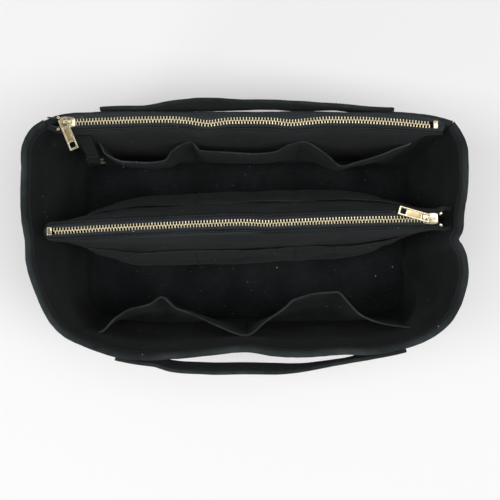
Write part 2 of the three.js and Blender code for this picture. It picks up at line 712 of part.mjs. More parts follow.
// Middle pouch: two panels sewn to the side walls, hung from the zipper's tapes and closed along the bottom.
const pouchTop = middleZip.height - tapeHalfThickness - clothGap;
const pouchAt = (share, z) => THREE.MathUtils.lerp(-pouchReach(-1, z), pouchReach(1, z), share);

function pouchReach(end, z) {
  const seam = middleZip.lineY(end * rimHalfLength);
  const inset = Math.max(wallInset, rimInset) + seatGap;
  return Math.min(...[-1, 0, 1].map((side) => reachWall(0, seam + side * panelSeam, end, 0, z, inset)));
}

function pouchHalf(place, z) {
  const level = (z - pouchFloor) / (pouchTop - pouchFloor);
  const risen = THREE.MathUtils.smoothstep(level, pouchTopFillShare, 1);
  const fill = THREE.MathUtils.lerp(tableAt(pouchFillShares, place), 1, risen);
  const wide = pouchHalfWidth * tableAt(pouchSideShares, level) * fill;
  return Math.max(wide, canvas + clothGap / 2);
}
const rising = (values) => [...new Set(values)].sort((a, b) => a - b);
const pouchLevels = rising([
  ...pouchSideShares.map(([share]) => THREE.MathUtils.lerp(pouchFloor, pouchTop, share)),
  ...pouchDropShares.map(([share]) => THREE.MathUtils.lerp(slipFloor, slipMouthHeight, share)),
]);
const pouchSlipLevels = pouchLevels.filter((z) => z >= slipFloor && z <= slipMouthHeight);
const pouchPlaces = rising([...pouchFillShares, ...pouchGapeShares].map(([share]) => share));
const pouchSlipPlaces = pouchPlaces.filter((share) => (
  share >= pouchGapeShares[0][0] && share <= pouchGapeShares[pouchGapeShares.length - 1][0]));

function pouchSlipGape(place, z) {
  const level = (z - slipFloor) / (slipMouthHeight - slipFloor);
  return clothGap + canvas + pouchBellyGape * tableAt(pouchGapeShares, place) * tableAt(pouchDropShares, level);
}
for (const [name, side] of [['front', -1], ['rear', 1]]) {
  hungCloth(`pouch_${name}_panel`, pouchPlaces, pouchLevels, pouchAt,
    (x, z, place) => middleZip.lineY(x) + side * pouchHalf(place, z), -side);
  hungCloth(`pouch_${name}_slip_pockets`, pouchSlipPlaces, pouchSlipLevels, pouchAt,
    (x, z, place) => middleZip.lineY(x) + side * (pouchHalf(place, z) + pouchSlipGape(place, z)), -side);
}

// Grab straps. Each has its two ends sewn flat to the wall and a free loop between them that bows out.
function strap(name, side, insets, tabs, strapBow, face) {
  const low = bodyHeight - strapTopDrop - strapWidth;
  const left = insets[0] - rimHalfLength;
  const right = rimHalfLength - insets[1];
  const span = right - left;
  const place = (x, across, up) => {
    const wallY = face(x, low + up, -seatGap - across);
    const bow = strapBow * tableAt(strapBowShares, (x - left) / span);
    return [x, wallY + side * bow * (1 + strapLeanShare * (up / strapWidth - 1 / 2)), low + up];
  };
  const profile = [[0, 0], [strapThickness, 0], [strapThickness, strapWidth], [0, strapWidth]];
  const part = (partName, xs) => piece(partName, sweep(profile, xs.length - 1, (station, across, up) => (
    place(xs[station], across, up))), 'webbing');
  const split = [left + span * strapSplitShare, right - span * strapSplitShare];
  const bends = skinAt(bodyHeight).points.filter((point) => point.y * side > 0).map((point) => point.x);
  const stations = rising([...strapBowShares.map(([share]) => left + span * share), ...bends]);
  const run = (from, to) => [from, ...stations.filter((x) => x > from + clothGap && x < to - clothGap), to];
  part(name, run(split[0] + clothGap / 2, split[1] - clothGap / 2));
  part(`${name}_left_end`, run(left - tabs[0], split[0] - clothGap / 2));
  part(`${name}_right_end`, run(split[1] + clothGap / 2, right + tabs[1]));
}
strap('front_handle', -1, frontStrapInsets, frontStrapTabs, frontStrapBow, frontFace);
strap('rear_handle', 1, rearStrapInsets, rearStrapTabs, rearStrapBow, rearFace);

// Key strap: it hangs against the rear pocket's panel, and its lower end is sewn round the clasp's eye.
const keyStrapX = rearGapeShares[0][0] * rimHalfLength - keyStrapSideGap - keyStrapWidth / 2;
const strapBackY = rearPanelFace(keyStrapX, keyStrapTop) - clothGap;
const keyStrap = new THREE.Group();
keyStrap.position.set(keyStrapX, strapBackY - keyStrapThickness, keyStrapTop);
organizer.add(keyStrap);
const strapRun = Math.sqrt(keyStrapLength ** 2 - keyStrapLean ** 2);
const loopOuter = loopRadius + keyStrapThickness / 2;
const loopCentre = [-keyStrapLean, -strapRun - loopOuter];

// Side view of the strap and its loop, in Y and Z from the strap's sewn top.
function keyStrapSide() {
  const outer = [];
  const lean = Math.atan2(keyStrapLean, strapRun);
  const start = Math.PI / 2 + Math.asin(keyStrapThickness / 2 / loopOuter);
  const turn = Math.PI * 2 - 2 * Math.asin(keyStrapThickness / 2 / loopOuter);
  for (let step = 0; step <= loopSteps; step += 1) {
    const angle = start - lean + turn * step / loopSteps;
    outer.push([loopCentre[0] + loopOuter * Math.cos(angle), loopCentre[1] + loopOuter * Math.sin(angle)]);
  }
  const hole = Array.from({ length: loopSteps }, (unused, step) => {
    const angle = -Math.PI * 2 * step / loopSteps;
    const radius = loopRadius - keyStrapThickness / 2;
    return [loopCentre[0] + radius * Math.cos(angle), loopCentre[1] + radius * Math.sin(angle)];
  });
  return { outline: [[0, 0], ...outer, [keyStrapThickness, 0]], hole };
}
const { outline: strapOutline, hole: strapHole } = keyStrapSide();
const keyStrapGeometry = plate(strapOutline, keyStrapWidth, [strapHole]);
keyStrapGeometry.translate(0, 0, -keyStrapWidth / 2);
keyStrapGeometry.rotateX(Math.PI / 2).rotateZ(Math.PI / 2);
piece('key_strap', keyStrapGeometry, 'webbing', keyStrap);

// Swivel clasp, in a frame whose origin is the middle of the eye's bar in the strap's loop.
const clasp = new THREE.Group();
clasp.position.set(0, loopCentre[0], loopCentre[1]);
keyStrap.add(clasp);
const eyeFoot = -eyeHeight;
const collarFoot = eyeFoot - collarHeight;

function clearRod(radius, low, high, sides) {
  return rod(radius, new THREE.Vector3(0, 0, low), new THREE.Vector3(0, 0, high), sides);
}

function claspEye() {
  const half = eyeWire / 2;
  const wide = eyeHalfWidth;
  const outline = [
    [-wide, half], [-wide, -eyeHeight / 2], [-wide / 2, eyeFoot], [wide / 2, eyeFoot], [wide, -eyeHeight / 2],
    [wide, half],
  ];
  const inner = wide - eyeWire;
  const hole = [
    [-inner, -half], [inner, -half], [inner, -eyeHeight / 2], [wide / 2 - half, eyeFoot + eyeWire],
    [half - wide / 2, eyeFoot + eyeWire], [-inner, -eyeHeight / 2],
  ];
  const ring = plate(outline, eyeWire, [hole]).translate(0, 0, -half).rotateX(Math.PI / 2);
  const collar = clearRod(collarRadius, collarFoot, eyeFoot + eyeWire, collarSides);
  const bore = clearRod(stemRadius + stemGap, collarFoot - eyeWire, eyeFoot + eyeWire * 2, collarSides);
  return joined([ring, collar], [bore]);
}
piece('clasp_eye', claspEye(), 'brass', clasp);

const hookTop = collarFoot - clothGap;
const hookFoot = hookTop - hookHeight;
const pinPlace = [hookWidth / 2 - hookBar / 2 - pinRadius, hookTop - pinDrop];
const hookTip = hookFoot + hookTipRise - clothGap;
const gateFoot = hookTip + clothGap;

// The hook: a bar that runs down one side, round the bottom and up to the gate's tip, with cheeks for the gate.
function claspHook() {
  const half = hookWidth / 2;
  const outline = [
    [half, hookTop - hookBar], [half - hookBar, hookTop], [-half + hookBar, hookTop],
    [-half, hookTop - hookBar], [-half, hookFoot + hookTipRise], [-half + hookBar, hookFoot + hookBar / 2], [0, hookFoot],
    [half - hookBar, hookFoot + hookBar / 2], [half, hookTip], [half - hookBar, hookTip],
    [hookBar / 2, hookFoot + hookBar], [-hookBar / 2, hookFoot + hookBar],
    [-half + hookBar, hookFoot + hookBendRise], [-half + hookBar, hookTop - hookBar],
    [hookBar / 2, hookTop - hookBar], [half - cheekSlope, hookTop - cheekDrop], [half, hookTop - cheekDrop],
  ];
  const flat = plate(outline, hookHalfThickness * 2).translate(0, 0, -hookHalfThickness).rotateX(Math.PI / 2);
  const headLow = eyeFoot + eyeWire + clothGap;
  const stem = clearRod(stemRadius, hookTop - hookBar / 2, headLow + clothGap, rodSides);
  const head = clearRod(headRadius, headLow, headLow + headHeight, rodSides);
  const slotHalf = hookHalfThickness - cheekThickness;
  const slot = block(
    [half - hookBar * 2, -slotHalf, hookTop - gateSlotFoot],
    [half * 2, slotHalf, hookTop - gateSlotDrop],
  );
  return joined([flat, stem, head], [slot, pinAlong(pinRadius + pinGap, hookHalfThickness * 2)]);
}

function pinAlong(radius, half) {
  const [x, z] = pinPlace;
  return rod(radius, new THREE.Vector3(x, -half, z), new THREE.Vector3(x, half, z), pinSides);
}
piece('clasp_hook', claspHook(), 'brass', clasp);
piece('clasp_pin', pinAlong(pinRadius, hookHalfThickness), 'steel', clasp);

// The gate turns on the pin between the cheeks, and its lower tip rests on the hook's tip.
const slotRoom = (hookHalfThickness - cheekThickness) * 2;
const gateLow = clothGap / 2 - slotRoom / 2;
function claspGate() {
  const [x, z] = pinPlace;
  const half = gateWidth / 2;
  const outline = [
    [x - half, z + half], [x + half, z + half], [x + half, gateFoot], [x - half, gateFoot],
  ];
  const bar = plate(outline, gateThickness).rotateX(Math.PI / 2).translate(0, gateThickness, 0);
  bar.translate(0, gateLow, 0);
  return joined([bar], [pinAlong(pinRadius + pinGap, hookHalfThickness * 2)]);
}
piece('clasp_gate', claspGate(), 'brass', clasp);

// The gate's spring, coiled round the pin beside it.
const springLow = gateLow + gateThickness + pinGap;
const springRadius = pinRadius + springThickness;
function claspSpring() {
  const [x, z] = pinPlace;
  const low = new THREE.Vector3(x, springLow, z);
  const high = new THREE.Vector3(x, springLow + springThickness, z);
  return joined([rod(springRadius, low, high)], [pinAlong(pinRadius + pinGap, hookHalfThickness * 2)]);
}
piece('clasp_spring', claspSpring(), 'steel', clasp);

export default organizer;
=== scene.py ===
"""A black canvas purse organizer that stands open: padded walls, a zipped rear pocket, a zipped pouch across
the middle, slip pockets, two grab straps and a key strap with a swivel clasp, dressed round the packed model."""

import json
import math

import bmesh
import bpy
import numpy as np
from bpy.props import FloatProperty, FloatVectorProperty, IntProperty, PointerProperty
from mathutils import Matrix, Quaternion, Vector


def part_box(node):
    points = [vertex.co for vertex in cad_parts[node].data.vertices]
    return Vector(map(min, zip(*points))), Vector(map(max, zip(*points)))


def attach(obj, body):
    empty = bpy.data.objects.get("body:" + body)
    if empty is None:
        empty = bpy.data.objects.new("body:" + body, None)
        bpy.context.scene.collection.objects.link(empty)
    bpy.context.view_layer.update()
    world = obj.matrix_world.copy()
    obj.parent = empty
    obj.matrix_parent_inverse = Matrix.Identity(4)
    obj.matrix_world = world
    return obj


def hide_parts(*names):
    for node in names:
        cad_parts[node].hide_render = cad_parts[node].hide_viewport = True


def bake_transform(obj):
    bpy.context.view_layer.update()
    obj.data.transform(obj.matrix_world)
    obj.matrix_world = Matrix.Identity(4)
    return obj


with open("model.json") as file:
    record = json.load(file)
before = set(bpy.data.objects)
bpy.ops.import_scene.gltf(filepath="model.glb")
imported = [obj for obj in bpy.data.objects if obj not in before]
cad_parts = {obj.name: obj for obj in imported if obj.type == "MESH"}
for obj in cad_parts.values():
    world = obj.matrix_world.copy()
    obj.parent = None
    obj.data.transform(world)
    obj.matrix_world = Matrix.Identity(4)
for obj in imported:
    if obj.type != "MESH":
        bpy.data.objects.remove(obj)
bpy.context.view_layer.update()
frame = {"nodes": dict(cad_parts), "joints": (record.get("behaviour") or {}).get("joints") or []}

bl_info = {
    "name": "Purse organizer insert",
    "version": (1, 0, 0),
    "blender": (4, 5, 0),
    "location": "View3D > Sidebar > Organizer",
    "description": "Dresses the organizer's packed model in canvas, thread and plated metal",
    "category": "Object",
}

MM = 0.001
SMALL = 1e-9
# Room for the corner seams at the ends of a wall, half the height over which a hem's step shows, how far down a
# pocket's mouth is painted paler, partly as wear and partly as a painted highlight, and half the thickness of the bar
# by which a pull hangs.
SEAM_ROOM = 0.3 * MM
HEM_STEP = 0.4 * MM
PALER_EDGE_BAND = 2 * MM
PULL_BAR = 0.65 * MM

# The rim seen from above, from the rear left seam round the front to the rear right seam,
# as shares of the rim's half length and half width. The notch on the right is the pouch's seam.
WRAP_RIM_SHARES = (
    (-0.898, 0.923), (-0.944, 0.872), (-0.974, 0.806), (-0.993, 0.724), (-0.996, 0.561), (-1, 0.306),
    (-0.994, 0.143), (-0.982, 0), (-0.977, -0.173), (-0.956, -0.316), (-0.929, -0.439), (-0.898, -0.561),
    (-0.857, -0.673), (-0.804, -0.755), (-0.725, -0.821), (-0.632, -0.878), (-0.556, -0.913),
    (-0.456, -0.929), (-0.31, -0.923), (-0.16, -0.899), (0.035, -0.873), (0.117, -0.895), (0.263, -0.908),
    (0.444, -0.887), (0.55, -0.891), (0.643, -0.87), (0.725, -0.837), (0.801, -0.789), (0.865, -0.724),
    (0.918, -0.64), (0.956, -0.531), (0.98, -0.418), (0.996, -0.224), (0.985, -0.112), (0.971, -0.056),
    (0.951, 0), (0.966, 0.061), (0.973, 0.204), (0.991, 0.388), (0.996, 0.592), (0.988, 0.745),
    (0.965, 0.837), (0.933, 0.918),
)
REAR_RIM_SHARES = (
    (0.933, 0.918), (0.871, 0.949), (0.807, 0.969), (0.708, 0.987), (0.585, 0.996), (0.292, 1), (0, 1),
    (-0.292, 1), (-0.632, 0.999), (-0.702, 0.988), (-0.789, 0.98), (-0.854, 0.957), (-0.898, 0.923),
)
# How far each slip pocket stands open: place along X, then gape. The rear places are shares of the rim's
# half length and the front ones of the base's.
REAR_GAPE_SHARES = (
    (-0.69, 0), (-0.66, 0.5), (-0.567, 0.86), (-0.45, 0.92), (-0.377, 0.8), (-0.345, 0.42), (-0.257, 0),
    (-0.21, 0.36), (-0.08, 0.47), (0.023, 0.52), (0.14, 0.42), (0.21, 0.12), (0.27, 0),
    (0.374, 0.48), (0.46, 1), (0.538, 0.82), (0.632, 0.55), (0.725, 0.18), (0.78, 0),
)
FRONT_GAPE_SHARES = (
    (-0.78, 0), (-0.694, 0.4), (-0.615, 0.68), (-0.509, 0.83), (-0.45, 0.98), (-0.37, 0.72),
    (-0.291, 0.6), (-0.158, 0.3), (0.006, 0), (0.113, 0.36), (0.211, 0.68), (0.265, 0.88), (0.397, 1),
    (0.493, 1), (0.549, 0.78), (0.608, 0.52), (0.708, 0.28), (0.82, 0.1), (0.882, 0),
)
# Places along the pouch as shares of its length, then how far the pouch fills out there.
POUCH_FILL_SHARES = (
    (0, 0.15), (0.045, 0.46), (0.13, 0.78), (0.26, 0.95), (0.37, 0.98), (0.5, 1), (0.64, 0.98),
    (0.76, 0.94), (0.87, 0.8), (0.955, 0.52), (1, 0.15),
)
POUCH_GAPE_SHARES = (
    (0.1, 0), (0.16, 0.75), (0.24, 1), (0.32, 0.75), (0.375, 0), (0.43, 0.75), (0.505, 1), (0.58, 0.75),
    (0.635, 0), (0.69, 0.75), (0.77, 1), (0.85, 0.75), (0.9, 0),
)
# Height between a slip pocket's floor and mouth as a share, then how open the pocket is there.
SLIP_DROP_SHARES = ((0, 0), (0.25, 0.42), (0.55, 0.78), (0.8, 0.94), (1, 1))
# The same height, then how far the filled pouch swells, and how far its slip pockets stand off it.
POUCH_SWELL_SHARES = ((0, 0), (0.27, 0.7), (0.52, 1), (0.8, 0.55), (1, 0.15))
POUCH_DROP_SHARES = ((0, 0), (0.27, 0.7), (0.52, 1), (0.8, 0.78), (1, 0.5))
# Height of the pouch, and of the rear pocket, from floor to zipper as a share, then half width or depth.
POUCH_SIDE_SHARES = ((0, 0), (0.05, 0.55), (0.2, 0.85), (0.45, 1), (0.7, 1), (0.88, 0.7), (1, 0.42))
REAR_POCKET_SHARES = ((0, 0.06), (0.13, 0.45), (0.35, 0.75), (0.7, 0.88), (1, 1))
# The middle of each grab strap's cloth in mm: place along X, then how far its upper and lower edge lie from
# the body's middle. Where the wall reaches further, the strap lies on the wall.
FRONT_STRAP = (
    (-99.8, 88, 86), (-92, 93, 90), (-80.5, 95.2, 91), (-69.1, 96.8, 92), (-63.7, 98.5, 94.6),
    (-57.6, 100.3, 96.6), (-46.1, 101.7, 97.9), (-34.6, 102.2, 98.1), (-23, 102.8, 98.3), (0, 102.3, 98.4),
    (23, 102.6, 98.8), (34.5, 101.8, 99),
    (46, 100.2, 98.6), (57.5, 98, 97.4), (69, 95.7, 96), (80.5, 93.7, 94.2), (92, 91.8, 91), (103.5, 89.4, 88),
    (115, 86.9, 85), (124, 84.4, 82),
)
REAR_STRAP = (
    (-103.6, 99, 98), (-92, 99.8, 99), (-80.6, 101, 99.8), (-69, 103, 100.7), (-57.6, 105.5, 101.6),
    (-46, 106.9, 102.4), (-34.6, 107.9, 103), (-23, 107.8, 103.3), (-11.5, 107, 103.5), (0, 106.4, 103.8),
    (11.5, 106.5, 104.5), (23, 106.4, 104.6), (34.5, 105.6, 103.7), (46, 105, 103.3), (57.5, 103.9, 103.7),
    (69, 103.2, 104), (80.5, 102.3, 102.7), (92, 101, 101), (103.5, 99.7, 99.4), (112, 98.7, 98.4),
)
# How the closed chains wave sideways: place along the chain from its slider as a share, then millimetres.
ZIP_WAVES = {
    "rear_zip": (
        (0, 0), (0.025, 0.3), (0.105, 1.3), (0.24, 2.7), (0.294, 2.9), (0.348, 1.8), (0.396, 0.1), (0.455, 2.2),
        (0.509, 2.5), (0.563, 2.3), (0.619, 0.9), (0.67, 2.2), (0.724, 3.4), (0.805, 3.3), (0.859, 2.6),
        (0.913, 1.8), (1, 0),
    ),
    "middle_zip": (
        (0, 0), (0.12, 0.5), (0.25, 0.9), (0.36, 0.8), (0.435, 0.5), (0.513, 2.0), (0.617, 1.9), (0.746, 1.5),
        (0.876, 0.85), (1, 0),
    ),
}
# The ends of each closed chain in mm, in X and Y: at its slider, then at its box stop.
ZIP_ENDS = {
    "rear_zip": ((-140.7, 89.2), (143.2, 87.5)),
    "middle_zip": ((147.3, 16.2), (-147.6, 6.4)),
}
# What the tapes do where they run into the wall beyond the slider: how far in mm, then the distances from the
# body's middle between which they do it. They tuck down, turn to the rear and close up.
ZIP_TUCKS = {"rear_zip": (2.6, 145, 152), "middle_zip": (7, 149.5, 157)}
ZIP_TURNS = {"rear_zip": (3, 143, 152), "middle_zip": (0, 143, 152)}
ZIP_CLOSINGS = {"rear_zip": (0, 149.5, 156.5), "middle_zip": (3.2, 149.5, 156.5)}
# How each pull lies, in degrees: the rear one turned from the X axis, and the middle one tilted from flat.
PULL_TURNS = {"rear_zip": -67.5, "middle_zip": -3}
# How a pocket's upper edge folds over its tape, in mm: from the chain's middle, then above the tape's middle.
FOLD_OVER = ((7.1, -0.2), (6.95, 0.4), (6.3, 0.74), (5.6, 0.8), (5, 0.76))


def length(name, millimetres, description):
    """A size that the panel shows in the scene's own unit."""
    return FloatProperty(
        name=name, description=description, default=millimetres * MM, min=0, unit="LENGTH", precision=4)


def colour(name, hex_value, description):
    """A colour given as an sRGB hex value."""
    return FloatVectorProperty(
        name=name, description=description, default=linear(hex_value), size=3, min=0, max=1, subtype="COLOR")


def linear(hex_value):
    """The linear colour of an sRGB hex value."""
    shares = [((hex_value >> shift) & 255) / 255 for shift in (16, 8, 0)]
    return [s / 12.92 if s <= 0.04045 else ((s + 0.055) / 1.055) ** 2.4 for s in shares]


class OrganizerBody(bpy.types.PropertyGroup):
    """Sizes of the padded body."""
    height: length("Height", 165, "From the ground to the top of the front rim")
    rear_drop: length("Rear rim drop", 2.5, "How much lower the rear rim is")
    rim_half_length: length("Rim half length", 171, "Half the rim's reach along X")
    rim_half_width: length("Rim half width", 98, "Half the rim's reach along Y")
    base_half_length: length("Base half length", 151.2, "Half the base's length")
    base_half_width: length("Base half width", 76.2, "Half the base's width")
    front_corner: length("Front corner", 29, "Radius of the base's front corners")
    rear_corner: length("Rear corner", 15, "Radius of the base's rear corners")
    cloth: length("Cloth", 0.9, "Thickness of the canvas")
    wall_inset: length("Wall inset", 6.4, "From the rim's outer face to the wall's inner face")
    outer_inset: length("Outer inset", 1.2, "From the rim's outer face to the wall's outer face")
    binding_depth: length("Binding depth", 11, "How far the rim's binding reaches down")
    binding_width: length("Binding width", 4.5, "Thickness of the bound rim")
    puff: length("Puff", 1.3, "How far the padding and the binding swell out past the rim's line")
    pinch: length("Pinch", 24, "Height over which the lining draws in to the bound rim")
    floor_top: length("Floor top", 4.9, "Height of the floor's lining")
    cove: length("Cove", 8, "Radius of the soft fold where the lining turns from the walls onto the floor")


class OrganizerZips(bpy.types.PropertyGroup):
    """Sizes of the two zippers."""
    pitch: length("Tooth pitch", 2.35, "From one tooth of a row to the next")
    row_half_width: length("Half chain", 3, "Half the width of the closed chain")
    tooth_height: length("Tooth height", 2.6, "Height of a tooth")
    tape_half_width: length("Half tape", 6.5, "From the chain's middle to the tape's sewn edge")
    tape_thickness: length("Tape thickness", 0.6, "Thickness of the tape")
    slider_length: length("Slider length", 11.5, "Length of the slider's body")
    pull_length: length("Pull length", 25, "Length of the pull")
    pull_half_width: length("Pull half width", 3.4, "Half the width of the pull")
    pull_thickness: length("Pull thickness", 1.6, "Thickness of the pull")


class OrganizerPockets(bpy.types.PropertyGroup):
    """Sizes of the pockets and the pouch."""
    mouth: length("Mouth height", 124, "Height of the slip pockets' mouths")
    slip_floor: length("Slip floor", 28, "Height of the slip pockets' lower seam")
    rear_gape: length("Rear gape", 19, "How far the rear slip pockets stand open")
    front_gape: length("Front gape", 36, "How far the front slip pockets stand open")
    rear_floor: length("Rear pocket floor", 22, "Height of the rear zip pocket's lower seam")
    rear_depth: length("Rear pocket depth", 9, "How deep the rear zip pocket is")
    pouch_half: length("Pouch half width", 17, "Half the width of the pouch's belly")
    pouch_floor: length("Pouch floor", 9, "Height of the pouch's lower seam")
    pouch_gape: length("Pouch pocket gape", 13, "How far the pouch's slip pockets stand open")
    pouch_swell: length("Pouch swell", 12.5, "How far the filled pouch swells behind its slip pockets")
    pouch_slack: length("Pouch slack", 1.5, "Room at the mouth of a slip pocket on the pouch that lies close")
    pouch_end_room: length("Pouch end", 7.5, "How far the pouch's left end draws in from the wall at its top")
    hem: length("Hem", 11, "Width of the hem along a pocket's mouth")
    crease: length("Crease", 1.1, "Height of the soft creases in the cloth")


class OrganizerStraps(bpy.types.PropertyGroup):
    """Sizes of the grab straps and the key strap."""
    width: length("Strap width", 25, "Width of a grab strap")
    thickness: length("Strap thickness", 3, "Thickness of a grab strap")
    drop: length("Strap drop", 3, "From the rim's top to the strap's top")
    seat: length("Strap seat", 0.25, "From the wall's outer face to the strap sewn on it")
    key_width: length("Key strap width", 10, "Width of the key strap")
    key_thickness: length("Key strap thickness", 1.5, "Thickness of the key strap")


class OrganizerFinish(bpy.types.PropertyGroup):
    """Colours and thread sizes of the finishes."""
    canvas: colour("Canvas", 0x222627, "Piece-dyed black cotton canvas")
    lining: colour("Lining", 0x202324, "Canvas of the lining and the pockets")
    strap: colour("Strap", 0x2A2E2F, "Folded cotton of the grab straps, a little faded")
    tape: colour("Zipper tape", 0x272D31, "Blue-grey black woven tape")
    thread: colour("Thread", 0x303435, "Black sewing thread")
    gold: colour("Pale gold", 0xE4D8B8, "Pale gold plating")
    # The sunk face's browner tint is partly painted reflection, for the dark room that this face mirrors.
    brushed: colour("Brushed gold", 0xD2BE93, "The pull's sunk, brushed face")
    steel: colour("Steel", 0xB8B8B4, "Plain steel of pin and spring")
    lint: colour("Lint", 0xA8A8A4, "Fine dust and lint on the cloth")
    weave: length("Weave", 0.8, "Spacing of the canvas threads, drawn a little coarse so that it shows")
    tape_weave: length("Tape weave", 0.7, "Spacing of the tape's ribs")
    stitch: length("Stitch", 3, "Length of one stitch")
    thread_radius: length("Thread radius", 0.22, "Radius of the sewing thread")
    seed: IntProperty(name="Seed", description="Seed of the creases and the lint", default=11)


def sizes(group):
    """One of the organizer's groups of sizes, by the end of its name."""
    return getattr(bpy.context.scene, f"organizer_{group}")


# Numbers: tables, noise and outlines

def smooth_table(table, places):
    """Smooth value of a table of [place, value] pairs at places, without overshoot."""
    xs, ys = np.array(table, float).T
    slopes = np.diff(ys) / np.diff(xs)
    rises = np.zeros_like(ys)
    level = slopes[:-1] * slopes[1:] > 0
    rises[1:-1][level] = 2 * slopes[:-1][level] * slopes[1:][level] / (slopes[:-1] + slopes[1:])[level]
    return smooth_between(xs, ys, rises, np.clip(np.asarray(places, float), xs[0], xs[-1]))


def smooth_between(xs, ys, rises, places):
    """Smooth values at places, from values and slopes at xs."""
    row = np.clip(np.searchsorted(xs, places, side="right") - 1, 0, len(xs) - 2)
    gap = xs[row + 1] - xs[row]
    t = (places - xs[row]) / gap
    rise = rises[row] * t * (1 - t) ** 2 + rises[row + 1] * t * t * (t - 1)
    return ys[row] + (ys[row + 1] - ys[row]) * t * t * (3 - 2 * t) + gap * rise


def share_of(low, high, value):
    """How far along a value lies between two others."""
    return (value - low) / (high - low)


def ramp(low, high, values):
    """0 up to low, 1 from high on, and smooth between."""
    t = np.clip((values - low) / (high - low), 0, 1)
    return t * t * (3 - 2 * t)


def ripple(a, b, seed):
    """Smooth noise between -1 and 1 over two coordinates, with a bump to each unit."""
    side = 64
    lattice = np.random.default_rng(seed + sizes("finish").seed).uniform(-1, 1, (side, side))
    a, b = np.broadcast_arrays(np.asarray(a, float), np.asarray(b, float))
    i, j = np.floor(a).astype(int), np.floor(b).astype(int)
    s, t = ramp(0, 1, a - i), ramp(0, 1, b - j)

    def corner(p, q):
        return lattice[(i + p) % side, (j + q) % side]

    near = corner(0, 0) * (1 - s) + corner(1, 0) * s
    far = corner(0, 1) * (1 - s) + corner(1, 1) * s
    return near * (1 - t) + far * t


def creases(a, b, seed, size):
    """Soft creases of cloth: two scales of noise, slanted against each other. size is the larger one's."""
    broad = ripple((a + b * 0.5) / size, (b - a * 0.4) / (size * 0.7), seed)
    fine = ripple((a - b * 0.7) / (size * 0.36), (b + a * 0.3) / (size * 0.5), seed + 1)
    return broad * 0.7 + fine * 0.3


def along(points):
    """Length reached at each point of a polyline."""
    steps = np.linalg.norm(np.diff(points, axis=0), axis=1)
    return np.concatenate([[0], np.cumsum(steps)])


def at_lengths(points, places):
    """Points of a polyline at lengths along it."""
    reached = along(points)
    return np.stack([np.interp(places, reached, column) for column in points.T], axis=1)


def evenly(points, count):
    """Points at equal steps along a polyline."""
    return at_lengths(points, np.linspace(0, along(points)[-1], count))


def smooth_run(points, steps=12):
    """A smooth curve through points, without kinks."""
    reached = along(points)
    places = np.concatenate([np.linspace(a, b, steps, endpoint=False) for a, b in zip(reached, reached[1:])])
    places = np.append(places, reached[-1])
    return np.stack([
        smooth_between(reached, column, np.gradient(column, reached), places) for column in points.T], axis=1)


def value_at(points, places):
    """The second coordinate of points at places along the first."""
    order = np.argsort(points[:, 0], kind="stable")
    return np.interp(places, points[order, 0], points[order, 1])


def points_of(x, y, z):
    """Points from their coordinates, each of them a number or an array."""
    return np.stack(np.broadcast_arrays(x, y, z), axis=-1)


def arc(centre_x, centre_y, radius, start, turn=90, steps=16):
    """Points of an arc, with angles in degrees."""
    angles = np.radians(np.linspace(start, start + turn, steps))
    return np.stack([centre_x + radius * np.cos(angles), centre_y + radius * np.sin(angles)], axis=1)


class Outline:
    """The body's outline at any height: the wrap's stations first and then the rear wall's."""
    wrap_count = 900
    rear_count = 420
    flare_power = 1.6
    side_reach = 60 * MM
    # The rear wall's straight part, as distances from its middle, and the share of the puff that it lacks.
    straight_part = (80 * MM, 118 * MM)
    straight_loss = 0.85

    def __init__(self):
        body = sizes("body")
        self.height = body.height
        half = np.array([body.rim_half_length, body.rim_half_width])
        wrap = evenly(smooth_run(np.array(WRAP_RIM_SHARES) * half), self.wrap_count)
        rear = evenly(smooth_run(np.array(REAR_RIM_SHARES) * half), self.rear_count)
        rear_x = body.base_half_length - body.rear_corner
        rear_y = body.base_half_width - body.rear_corner
        front_x = body.base_half_length - body.front_corner
        front_y = body.base_half_width - body.front_corner
        base_wrap = np.concatenate([
            arc(-rear_x, rear_y, body.rear_corner, 135, 45), arc(-front_x, -front_y, body.front_corner, 180),
            arc(front_x, -front_y, body.front_corner, 270), arc(rear_x, rear_y, body.rear_corner, 0, 45)])
        base_rear = np.concatenate([
            arc(rear_x, rear_y, body.rear_corner, 45, 45), arc(-rear_x, rear_y, body.rear_corner, 90, 45)])
        self.rim = np.concatenate([wrap, rear[1:-1]])
        self.base = np.concatenate([evenly(base_wrap, self.wrap_count), evenly(base_rear, self.rear_count)[1:-1]])
        self.around = along(np.concatenate([self.rim, self.rim[:1]]))[:-1]
        self.wrap = np.arange(self.wrap_count)
        self.rear = np.arange(self.wrap_count - 1, self.wrap_count + self.rear_count - 1) % len(self.rim)

    def at(self, z, inset):
        """Points of the outline at height z, moved inward. z and inset are numbers, or one for each station."""
        share = np.clip(np.asarray(z, float) / self.height, 0, 1)
        flare = (1 - (1 - share) ** self.flare_power)[..., None]
        ring = self.base + (self.rim - self.base) * flare
        reach = 5
        run = np.roll(ring, -reach, axis=0) - np.roll(ring, reach, axis=0)
        run = run / np.linalg.norm(run, axis=1, keepdims=True)
        inward = np.stack([-run[:, 1], run[:, 0]], axis=1)
        return ring + inward * np.asarray(inset, float)[..., None]

    def puff(self):
        """How far the padded rim swells out at each station: fully, but for the straight part of the rear wall."""
        straight = (1 - ramp(*self.straight_part, np.abs(self.rim[:, 0]))) * (self.rim[:, 1] > 0)
        return sizes("body").puff * (1 - self.straight_loss * straight)

    def face_y(self, xs, z, inset, side):
        """Y of the wall at an inset, at places along X: the front wall for side -1 and the rear one for 1."""
        ring = self.at(z, inset)
        return value_at(ring[ring[:, 1] * side > 0], xs)

    def face_x(self, ys, z, inset, side):
        """X of the wall at an inset, at places along Y: the left wall for side -1 and the right one for 1."""
        ring = self.at(z, inset)[:, ::-1]
        return value_at(ring[(ring[:, 1] * side > 0) & (np.abs(ring[:, 0]) < self.side_reach)], ys)


# Meshes

